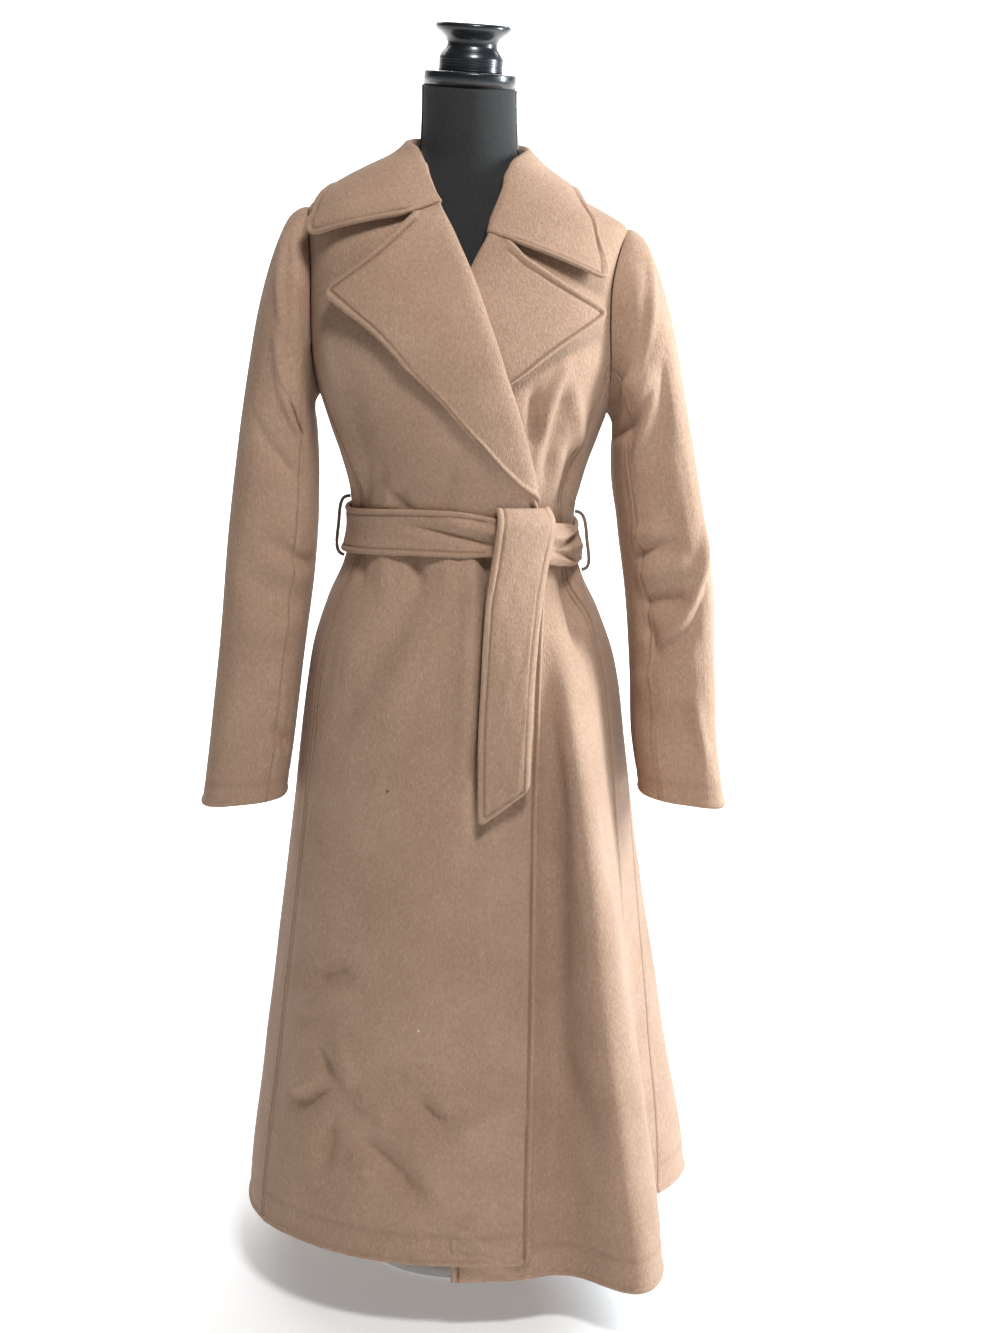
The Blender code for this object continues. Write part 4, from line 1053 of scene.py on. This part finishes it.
def collar_point(u, v):
    """Collar section: up the stand to the ridge, over it, and down the fall to the outer edge."""
    ridge = [COLLAR.at(u, f"ridge_{size}") for size in ("angle", "z", "out")]
    up = np.clip(1 - v / COLLAR_STAND_SHARE, 0, 1)
    down = np.clip((v - COLLAR_STAND_SHARE) / (1 - COLLAR_STAND_SHARE), 0, 1)
    angle = mix(ridge[0], COLLAR.at(u, "edge_angle"), down)
    z = mix(mix(ridge[1], COLLAR.at(u, "edge_z"), down), COLLAR.at(u, "foot_z"), up)
    z = z - COLLAR.at(u, "dip") * np.minimum(down / COLLAR_NOTCH, (1 - down) / (1 - COLLAR_NOTCH))
    out = mix(mix(ridge[2], COLLAR.at(u, "edge_out"), down), COLLAR.at(u, "foot_out"), up)
    side = blend(np.minimum(u, 1 - u), COLLAR_SIDE_FROM, COLLAR_SIDE_FULL)
    return coat_point(angle, z, out + mix(COLLAR_ROUND, COLLAR_SIDE_ROUND, side) * 4 * down * (1 - down))


def collar():
    """A stand that is sewn to the neckline, and a fall that lies on the shoulders.

    Gives the collar and the lines that the lapels are sewn to, from the roll to the notch.
    """
    around, deep = grid_lines(COLLAR_LENGTH, COLLAR_STEP), grid_lines(COLLAR_DEPTH, COLLAR_ROW_STEP)
    u, v = np.meshgrid(around, deep)
    from_edge = (1 - v) * COLLAR_DEPTH
    right, edge_right = rounded_corner(u * COLLAR_LENGTH, from_edge, COLLAR_CORNER)
    left, edge_left = rounded_corner((1 - u) * COLLAR_LENGTH, from_edge, COLLAR_CORNER)
    u = np.where(u < 0.5, right / COLLAR_LENGTH, 1 - left / COLLAR_LENGTH)
    v = 1 - np.where(u < 0.5, edge_right, edge_left) / COLLAR_DEPTH
    reach = np.minimum(COLLAR_ROLL, np.minimum(v, 1 - v))
    steps = np.linspace(-1, 1, COLLAR_SAMPLES)
    points = sum(collar_point(u, v + step * reach) for step in steps) / len(steps)
    rows, columns = points.shape[:2]
    down = v[:, columns // 2]
    roll_row = nearest(down - COLLAR_STAND_SHARE, -COLLAR_ROLL / 2)
    notch_row = nearest(down, mix(COLLAR_STAND_SHARE, 1.0, COLLAR_NOTCH))
    last, first, end = rows - 1 - STITCH_LINE, STITCH_LINE, columns - 1 - STITCH_LINE
    path = joined((np.arange(notch_row, last), np.full(last - notch_row, first)),
                  (np.full(end - first + 1, last), np.arange(first, end + 1)),
                  (np.arange(last - 1, notch_row - 1, -1), np.full(last - notch_row, end)))
    lips = [points[-1], points[notch_row:, 0], points[notch_row:, -1]]
    made = cloth("collar", points, DOUBLED, 1, [path], lips)
    sewn = slice(roll_row, notch_row + 1)
    return made, {"right": points[sewn, 0], "left": points[sewn, -1]}


def belt_z(angle):
    """The belt rides up at the front."""
    return BELT_SIDE_Z + BELT_FRONT_RISE * np.maximum(np.cos(np.radians(angle)), 0.0) ** 2


def belt_out(angle):
    """The belt lies on both fronts where they overlap, and on one layer elsewhere."""
    away = (angle + 180) % 360 - 180
    over_fronts = blend(away, *FRONTS_BEGIN) * (1 - blend(away, *FRONTS_END))
    return CLOTH + BELT_GAP + BELT_FRONT_OUT * over_fronts


def strip(name, points, facing=1, puff=1.0):
    """A strip of doubled cloth whose rows run along it, stitched along both long edges."""
    rows, columns = points.shape[:2]
    inside = np.arange(STITCH_LINE, rows - STITCH_LINE)
    stitched = [(inside, np.full(len(inside), STITCH_LINE)),
                (inside[::-1], np.full(len(inside), columns - 1 - STITCH_LINE))]
    return cloth(name, points, DOUBLED, facing, stitched, [points[:, 0], points[:, -1]], puff=puff)


def belt_band():
    """The band around the waist, pinched where it goes into the knot."""
    v, u = np.meshgrid(grid_lines(BELT_WIDTH, BAND_STEP), np.linspace(0, 1, BAND_ROWS))
    angle = mix(KNOT_END, 360 + KNOT_START, u)
    near_knot = blend(np.abs(2 * u - 1), 1 - BAND_PINCH_SHARE, 1)
    up = mix(-1, 1, v) * BELT_HALF_WIDTH * (1 - BAND_PINCH * near_knot)
    relief = creases(BELT_CREASES, (angle - 360) * BELT_METRES_PER_DEGREE, up)
    relief += creases(BELT_CREASES, angle * BELT_METRES_PER_DEGREE, up)
    points = coat_point(angle, belt_z(angle) + up, belt_out(angle) + DOUBLED / 2 + relief)
    return strip("belt_band", points, -1, BELT_PUFF)


def belt_knot():
    """The knot, a creased bundle on the band."""
    turns, v = np.meshgrid(FULL_TURN, np.linspace(0, 1, KNOT_ROWS))
    angle = mix(KNOT_START, KNOT_END, v)
    fat = mix(KNOT_END_SHARE, 1.0, np.sin(math.pi * v) ** KNOT_SWELL)
    rise = KNOT_HALF_HEIGHT * fat * np.sin(turns)
    relief = creases(KNOT_CREASES, v, rise / KNOT_HALF_HEIGHT) * blend(-np.cos(turns), *KNOT_FACE)
    out = belt_out(angle) + KNOT_HALF_DEPTH * (1 - np.cos(turns)) + relief
    points = coat_point(angle, belt_z(angle) + rise, out)
    return tube("belt_knot", points, wool_finish, ("belt_knot",))


def belt_end():
    """The free end that shows: folded over the knot, hanging to a slanted tip, stitched all round."""
    low_z, high_z = BELT_END.keys[0], BELT_END.keys[-1]
    length = high_z - low_z
    u, v = np.meshgrid(grid_lines(BELT_WIDTH, BELT_END_STEP), grid_lines(length, BELT_END_ROW_STEP))
    for near in (0, 1):
        from_edge, from_tip = rounded_corner(np.abs(u - near) * BELT_WIDTH, v * length, BELT_CORNER)
        u, v = np.abs(near - from_edge / BELT_WIDTH), from_tip / length
    z = mix(low_z, high_z, v)
    z = z + BELT_TIP_RISE * u * (1 - v) ** BELT_TIP_FADE
    x = mix(BELT_END.at(z, "left"), BELT_END.at(z, "right"), u)
    folded = np.clip((z - high_z) / END_FOLD_HEIGHT + 1, 0, 1)
    out = BELT_END.at(z, "out") + DOUBLED / 2 - END_FOLD_DEPTH * (1 - np.sqrt(1 - folded ** 2))
    out = out + BELT_END_TURN * u * (1 - blend(z, BELT_FREE_Z, BELT_HELD_Z))
    from_edge = np.minimum((1 - u) * BELT_WIDTH, v * length)
    out = out - END_ROLL_DEPTH * (1 - np.clip(from_edge / END_ROLL_WIDTH, 0, 1)) ** 2
    uneven = ripple(BELT_RIPPLE_PACE * u, BELT_RIPPLE_PACE * z, BELT_RIPPLE)
    points = coat_point(angle_at(x, z), z, out + uneven)
    rows, columns = points.shape[:2]
    inset = columns - 1 - STITCH_LINE
    path = joined((np.arange(rows - 1, STITCH_LINE - 1, -1), np.full(rows - STITCH_LINE, STITCH_LINE)),
                  (np.full(inset - STITCH_LINE, STITCH_LINE), np.arange(STITCH_LINE + 1, inset + 1)),
                  (np.arange(STITCH_LINE + 1, rows), np.full(rows - 1 - STITCH_LINE, inset)))
    lips = [points[0], points[:, 0], points[:, -1]]
    return cloth("belt_end", points, DOUBLED, 1, [path], lips, puff=BELT_PUFF)


def belt_end_under():
    """The shorter free end behind it."""
    length = UNDER_END_HIGH_Z - UNDER_END_LOW_Z
    u, v = np.meshgrid(grid_lines(BELT_WIDTH, BELT_END_STEP), grid_lines(length, BELT_END_ROW_STEP))
    z = mix(UNDER_END_LOW_Z, UNDER_END_HIGH_Z, v)
    x = mix(BELT_END.at(z, "left"), BELT_END.at(z, "right"), mix(UNDER_END_LEFT, UNDER_END_RIGHT, u))
    points = coat_point(angle_at(x, z), z, SEAMS.at(z, "lift") + CLOTH + LAYER_GAP + DOUBLED / 2)
    return strip("belt_end_under", points)


def tube(name, points, finish, nodes=()):
    """A closed tube through rings of points, a ring a row, whose first and last column are the same."""
    rows, columns = points.shape[0], points.shape[1] - 1
    ids = np.arange(rows * columns).reshape(rows, columns)
    sides = closed_quads(ids)
    middles = np.stack([points[0, :-1].mean(axis=0), points[-1, :-1].mean(axis=0)])
    shape = np.concatenate([points[:, :-1].reshape(-1, 3), middles])
    around = np.arange(columns)
    after = (around + 1) % columns
    low = np.stack([np.full(columns, rows * columns), ids[0, after], ids[0, around]], axis=1)
    high = np.stack([np.full(columns, rows * columns + 1), ids[-1, around], ids[-1, after]], axis=1)
    faces = sides.tolist() + low.tolist() + high.tolist()
    corners = shape[sides]
    volume = np.einsum("ij,ij->i", corners[:, 0], np.cross(corners[:, 1], corners[:, 2])).sum()
    if volume < 0:
        faces = [face[::-1] for face in faces]
    return add_mesh(name, shape, faces, finish, nodes)


def cord_points(path, radius, sides=14):
    """Rings of points along a path, for a tube."""
    ahead = unit(np.gradient(path, axis=0))
    aside = unit(np.cross(ahead, np.array((0.0, 0.0, 1.0)) + 0.01))
    up = np.cross(aside, ahead)
    turns = np.linspace(0, 2 * math.pi, sides + 1)[:, None]
    return path[:, None] + radius * (aside[:, None] * np.cos(turns) + up[:, None] * np.sin(turns))


def belt_loops():
    """A thin sewn loop at each side seam, standing off the belt."""
    reach = BELT_HALF_WIDTH + LOOP_PAST_BELT
    swing = np.linspace(0, math.pi, LOOP_ROWS)
    for half, side in SIDES.items():
        angle = np.full(len(swing), side * LOOP_ANGLE)
        out = CLOTH + LOOP_ROOT + LOOP_REACH * np.sin(swing) ** LOOP_BOW
        path = coat_point(angle, belt_z(angle) + reach * np.cos(swing), out)
        name = f"belt_loop_{half}"
        tube(name, cord_points(path, LOOP_RADIUS), cord_finish, (name,))


def dress_form():
    """Torso and neck, and the piping on the neck's side seams."""
    turns, z = np.meshgrid(FULL_TURN, np.linspace(FORM_BOTTOM_Z, NECK_TOP_Z, FORM_ROWS))
    points = lean(FORM.at(z, "half_width") * np.cos(turns), FORM.at(z, "half_depth") * np.sin(turns), z)
    tube("form_body", points, jersey_finish, ("form_body",))
    z = np.linspace(PIPING_LOW_Z, NECK_TOP_Z - PIPING_TOP_GAP, PIPING_ROWS)
    for half, side in SIDES.items():
        path = lean(side * (FORM.at(z, "half_width") - PIPING_SUNK), 0 * z, z)
        points = cord_points(path, PIPING_RADIUS, PIPING_SIDES)
        tube(f"neck_piping_{half}", points, lacquer_finish)


def finial_profile():
    """The finial's outline, with fine rings cut into its foot."""
    step = FINIAL_FOOT_HEIGHT / (RING_COUNT + 1)
    rings = []
    for i in range(RING_COUNT):
        middle = FINIAL_FOOT_HEIGHT - (i + RING_OFFSET) * step
        rings += [(FINIAL_FOOT_RADIUS, middle + RING_HEIGHT), (FINIAL_FOOT_RADIUS - RING_DEPTH, middle),
                  (FINIAL_FOOT_RADIUS, middle - RING_HEIGHT)]
    foot = ((FINIAL_FOOT_RADIUS, FINIAL_FOOT_HEIGHT), *rings, (FINIAL_FOOT_RADIUS, 0.0))
    return (*FINIAL_TOP, *foot, (0.0, 0.0))


def disc_profile(radius, height, edge):
    """Outline of a disc whose upper edge is rounded."""
    cut = edge * EDGE_CUT
    return ((0, height), (radius - edge, height), (radius - cut, height - cut), (radius, height - edge),
            (radius, 0.0), (0, 0.0))


def turned(name, profile, foot, tilt, finish):
    """A profile turned about a line through its foot, which may tilt."""
    radius, height = (np.array(column)[:, None] for column in zip(*profile))
    x, y, z = radius * np.cos(FULL_TURN), radius * np.sin(FULL_TURN), height + 0 * FULL_TURN
    across = x * math.cos(tilt) + z * math.sin(tilt)
    upward = z * math.cos(tilt) - x * math.sin(tilt)
    points = np.stack([across, y, upward], axis=-1)
    return tube(name, points[1:-1] + np.array(foot), finish, (name,))


def hard_pieces():
    """Cap and finial on the neck, which lean with it, and the stand below."""
    foot = lean(np.array(0.0), np.array(0.0), np.array(NECK_TOP_Z + SEAT_GAP))
    up = np.array((math.sin(TILT), 0.0, math.cos(TILT)))
    cap = disc_profile(NECK_RADIUS, CAP_HEIGHT, CAP_EDGE)
    turned("neck_cap", cap, foot, TILT, lacquer_finish)
    seat = foot + up * (CAP_HEIGHT + SEAT_GAP)
    turned("finial", finial_profile(), seat, TILT, lacquer_finish)
    base = disc_profile(BASE_RADIUS, BASE_HEIGHT, BASE_EDGE)
    turned("base", base, (0, 0, 0), 0.0, steel_finish)
    length = FORM_BOTTOM_Z - BASE_HEIGHT - 2 * SEAT_GAP
    pole = ((0, length), (POLE_RADIUS, length), (POLE_RADIUS, 0.0), (0, 0.0))
    turned("pole", pole, (0, 0, BASE_HEIGHT + SEAT_GAP), 0.0, steel_finish)


class Finish:
    """A material whose nodes are added one by one. A value that is asked for may also be a socket."""

    def __init__(self, name):
        self.material = bpy.data.materials.new(name)
        self.material.use_nodes = True
        self.tree = self.material.node_tree
        self.shader = self.tree.nodes["Principled BSDF"]

    def node(self, kind, links=None, **values):
        """A new node, with its settings and what feeds its inputs."""
        made = self.tree.nodes.new(kind)
        for key, value in values.items():
            setattr(made, key, value)
        for key, value in (links or {}).items():
            self.feed(made.inputs[key], value)
        return made

    def feed(self, socket, value):
        """Links an input to a socket, or gives it a value."""
        if isinstance(value, bpy.types.NodeSocket):
            self.tree.links.new(value, socket)
        else:
            socket.default_value = value

    def set(self, **values):
        """Feeds the shader's inputs, which have spaces in their names."""
        for key, value in values.items():
            self.feed(self.shader.inputs[key.replace("_", " ")], value)

    def place(self, stretch=(1, 1, 1)):
        """Places on the object, multiplied along its axes."""
        where = self.node("ShaderNodeTexCoord").outputs["Object"]
        return self.node("ShaderNodeMapping", {"Vector": where, "Scale": stretch}).outputs[0]

    def noise(self, where, scale=1.0, detail=3.0, roughness=0.55):
        """Soft noise around one half."""
        links = {"Vector": where, "Scale": scale, "Detail": detail, "Roughness": roughness}
        return self.node("ShaderNodeTexNoise", links).outputs["Fac"]

    def span(self, value, given, wanted):
        """A value's given range brought to the wanted one."""
        links = {"Value": value, "From Min": given[0], "From Max": given[1],
                 "To Min": wanted[0], "To Max": wanted[1]}
        return self.node("ShaderNodeMapRange", links).outputs[0]

    def math(self, operation, a, b):
        """Sum or product of two values."""
        return self.node("ShaderNodeMath", {0: a, 1: b}, operation=operation).outputs[0]

    def mix(self, share, a, b):
        """Colour a, with a share of colour b."""
        return self.node("ShaderNodeMix", {0: share, 6: a, 7: b}, data_type="RGBA").outputs[2]

    def tones(self, share, pair):
        """The first screen colour of a pair, with a share of the second."""
        return self.mix(share, colour(*pair[0]), colour(*pair[1]))

    def bump(self, height, strength, distance):
        """Fine relief of the surface."""
        links = {"Height": height, "Strength": strength, "Distance": distance}
        self.set(Normal=self.node("ShaderNodeBump", links).outputs[0])


def colour(red, green, blue):
    """A screen colour of 0 to 255 as the shader's linear one."""
    def linear(value):
        share = value / 255
        return share / 12.92 if share <= 0.04045 else ((share + 0.055) / 1.055) ** 2.4
    return (linear(red), linear(green), linear(blue), 1.0)


def wool():
    """Brushed melton: cloudy, mottled, with short wisps of nap and a soft sheen, and painted shade in its
    grooves and seams.
    """
    made = Finish("camel_melton")
    where = made.place()
    clouds = made.noise(where, scale=13.0, detail=4.0)
    mottle = made.noise(where, scale=260.0, detail=4.0, roughness=0.7)
    wisps = made.noise(made.place((560, 420, 170)), roughness=0.6)
    base = made.tones(made.span(clouds, (0.35, 0.65), (0.0, 1.0)), CAMEL)
    base = made.mix(made.span(mottle, (0.32, 0.62), (0.36, 0.0)), base, colour(*CAMEL_SHADE))
    base = made.mix(made.span(wisps, (0.5, 0.72), (0.0, 0.22)), base, colour(*CAMEL_NAP))
    for x, z, radius, tint in SPECKS:
        angle = angle_at(x, z)
        spot = coat_point(angle, z, lift_at(angle, z) + CLOTH).tolist()
        away = made.node("ShaderNodeVectorMath", {0: where, 1: spot}, operation="DISTANCE").outputs["Value"]
        near = made.span(away, (radius / 2, radius), (SPECK_STRENGTH, 0.0))
        base = made.mix(near, base, colour(*tint))
    # Painted shade: darker colour in the grooves of the stitching and in the seams
    groove_and_shade = made.node("ShaderNodeAttribute", attribute_name="groove_and_shade").outputs["Fac"]
    base = made.mix(made.math("MULTIPLY", groove_and_shade, GROOVE_SHADE_STRENGTH), base, colour(*CAMEL_GROOVE_SHADE))
    made.set(Base_Color=base, Roughness=made.span(mottle, (0.3, 0.7), (0.82, 0.95)), Specular_IOR_Level=0.2)
    made.set(Sheen_Weight=0.12, Sheen_Roughness=0.4, Sheen_Tint=(1.0, 0.97, 0.95, 1.0))
    made.bump(made.math("ADD", mottle, wisps), strength=0.7, distance=0.0012)
    return made.material


def thread():
    """Tone-on-tone sewing thread."""
    made = Finish("camel_thread")
    twist = made.noise(made.place(), scale=2600.0, detail=1.0)
    made.set(Base_Color=made.tones(twist, THREAD), Roughness=0.6)
    return made.material


def cord():
    """Crocheted thread of the belt loops."""
    made = Finish("loop_thread")
    twist = made.noise(made.place((1, 1, 0.4)), scale=900.0, detail=2.0)
    made.set(Base_Color=made.tones(twist, CORD), Roughness=0.8)
    made.bump(twist, strength=0.6, distance=0.0006)
    return made.material


def jersey():
    """Dark grey woven cover of the dress form."""
    made = Finish("form_cover")
    warp = made.noise(made.place((2100, 2100, 320)), detail=1.0)
    weft = made.noise(made.place((300, 300, 2000)), detail=1.0)
    weave = made.math("ADD", warp, weft)
    base = made.tones(made.span(weave, (0.8, 1.2), (0.0, 1.0)), JERSEY)
    made.set(Base_Color=base, Roughness=0.9, Sheen_Weight=0.1)
    made.bump(weave, strength=0.15, distance=0.0003)
    return made.material


def lacquer():
    """Black varnished wood with faint turning marks."""
    made = Finish("black_varnish")
    marks = made.noise(made.place((6, 6, 900)), detail=2.0)
    dust = made.noise(made.place(), scale=60.0, detail=4.0)
    made.set(Base_Color=made.tones(dust, LACQUER), Roughness=made.span(marks, (0.3, 0.7), (0.22, 0.38)))
    made.set(Coat_Weight=0.5, Coat_Roughness=0.12)
    made.bump(marks, strength=0.06, distance=0.0004)
    return made.material


def steel():
    """White painted steel, lightly scuffed."""
    made = Finish("white_paint")
    scuffs = made.noise(made.place((1, 1, 0.3)), scale=90.0, detail=5.0, roughness=0.7)
    base = made.tones(made.span(scuffs, (0.55, 0.75), (0.0, 1.0)), PAINT)
    made.set(Base_Color=base, Roughness=made.span(scuffs, (0.3, 0.7), (0.35, 0.55)))
    made.bump(scuffs, strength=0.05, distance=0.0003)
    return made.material


def camera():
    """The photograph's viewpoint."""
    data = bpy.data.cameras.new("camera")
    data.sensor_width = SENSOR
    data.lens = FOCAL_PIXELS / IMAGE_HEIGHT * SENSOR
    made = bpy.data.objects.new("camera", data)
    made.location = CAMERA_PLACE
    made.rotation_euler = (math.radians(90 - CAMERA_PITCH), 0, 0)
    bpy.context.scene.collection.objects.link(made)
    bpy.context.scene.camera = made


def area_light(name, place, target, size, power, tint):
    """A lit rectangle that faces a target."""
    data = bpy.data.lights.new(name, "AREA")
    data.shape = "RECTANGLE"
    data.size, data.size_y = size
    data.energy = power
    data.color = tint
    made = bpy.data.objects.new(name, data)
    made.location = place
    made.rotation_euler = (Vector(target) - Vector(place)).to_track_quat("-Z", "Y").to_euler()
    bpy.context.scene.collection.objects.link(made)


def room():
    """Even light all round, soft light from above and behind, and a window on the viewer's right."""
    world = bpy.data.worlds.new("studio")
    bpy.context.scene.world = world
    world.use_nodes = True
    background = world.node_tree.nodes["Background"]
    background.inputs["Color"].default_value = (*WHITE, 1.0)
    background.inputs["Strength"].default_value = ROOM_LIGHT
    for name, sizes in LIGHTS.items():
        area_light(name, *sizes)
    bpy.context.scene.view_settings.view_transform = "Standard"


def paper():
    """White paper on the floor, which sweeps up behind."""
    finish = Finish("white_paper")
    speckle = finish.noise(finish.place(), scale=3.0, detail=2.0)
    finish.set(Base_Color=finish.mix(speckle, *PAPER_TONES), Roughness=0.8)
    finish.set(Emission_Color=(*WHITE, 1.0), Emission_Strength=PAPER_GLOW)
    bend = np.radians(np.linspace(0, 90, SWEEP_STEPS))
    wall = SWEEP_BACK + SWEEP_BEND
    depth = np.concatenate([[-SWEEP_REACH], SWEEP_BACK + SWEEP_BEND * np.sin(bend), [wall]])
    rise = np.concatenate([[0.0], SWEEP_BEND * (1 - np.cos(bend)), [SWEEP_TOP]])
    edges = [np.stack([np.full(len(rise), x), depth, rise], axis=-1) for x in (SWEEP_REACH, -SWEEP_REACH)]
    ids = np.arange(2 * len(rise)).reshape(2, -1)
    mesh = bpy.data.meshes.new("floor")
    mesh.from_pydata(np.concatenate(edges).tolist(), [], quads(ids).tolist())
    mesh.shade_smooth()
    mesh.materials.append(finish.material)
    floor = bpy.data.objects.new("floor", mesh)
    floor.location.z = -FLOOR_DROP
    bpy.context.scene.collection.objects.link(floor)


camera()
wool_finish, thread_finish, cord_finish = wool(), thread(), cord()
jersey_finish, lacquer_finish, steel_finish = jersey(), lacquer(), steel()

garment = coat_body()
for half in SIDES:
    for cut in SLEEVE_CUTS:
        garment[f"sleeve_{cut}_{half}"] = sleeve(cut, half)
garment["collar"], gorges = collar()
for half in SIDES:
    garment[f"lapel_{half}"] = lapel(half, gorges[half])
garment["belt_band"], garment["belt_knot"] = belt_band(), belt_knot()
garment["belt_end"], garment["belt_end_under"] = belt_end(), belt_end_under()
belt_loops()
dress_form()
hard_pieces()
room()
paper()
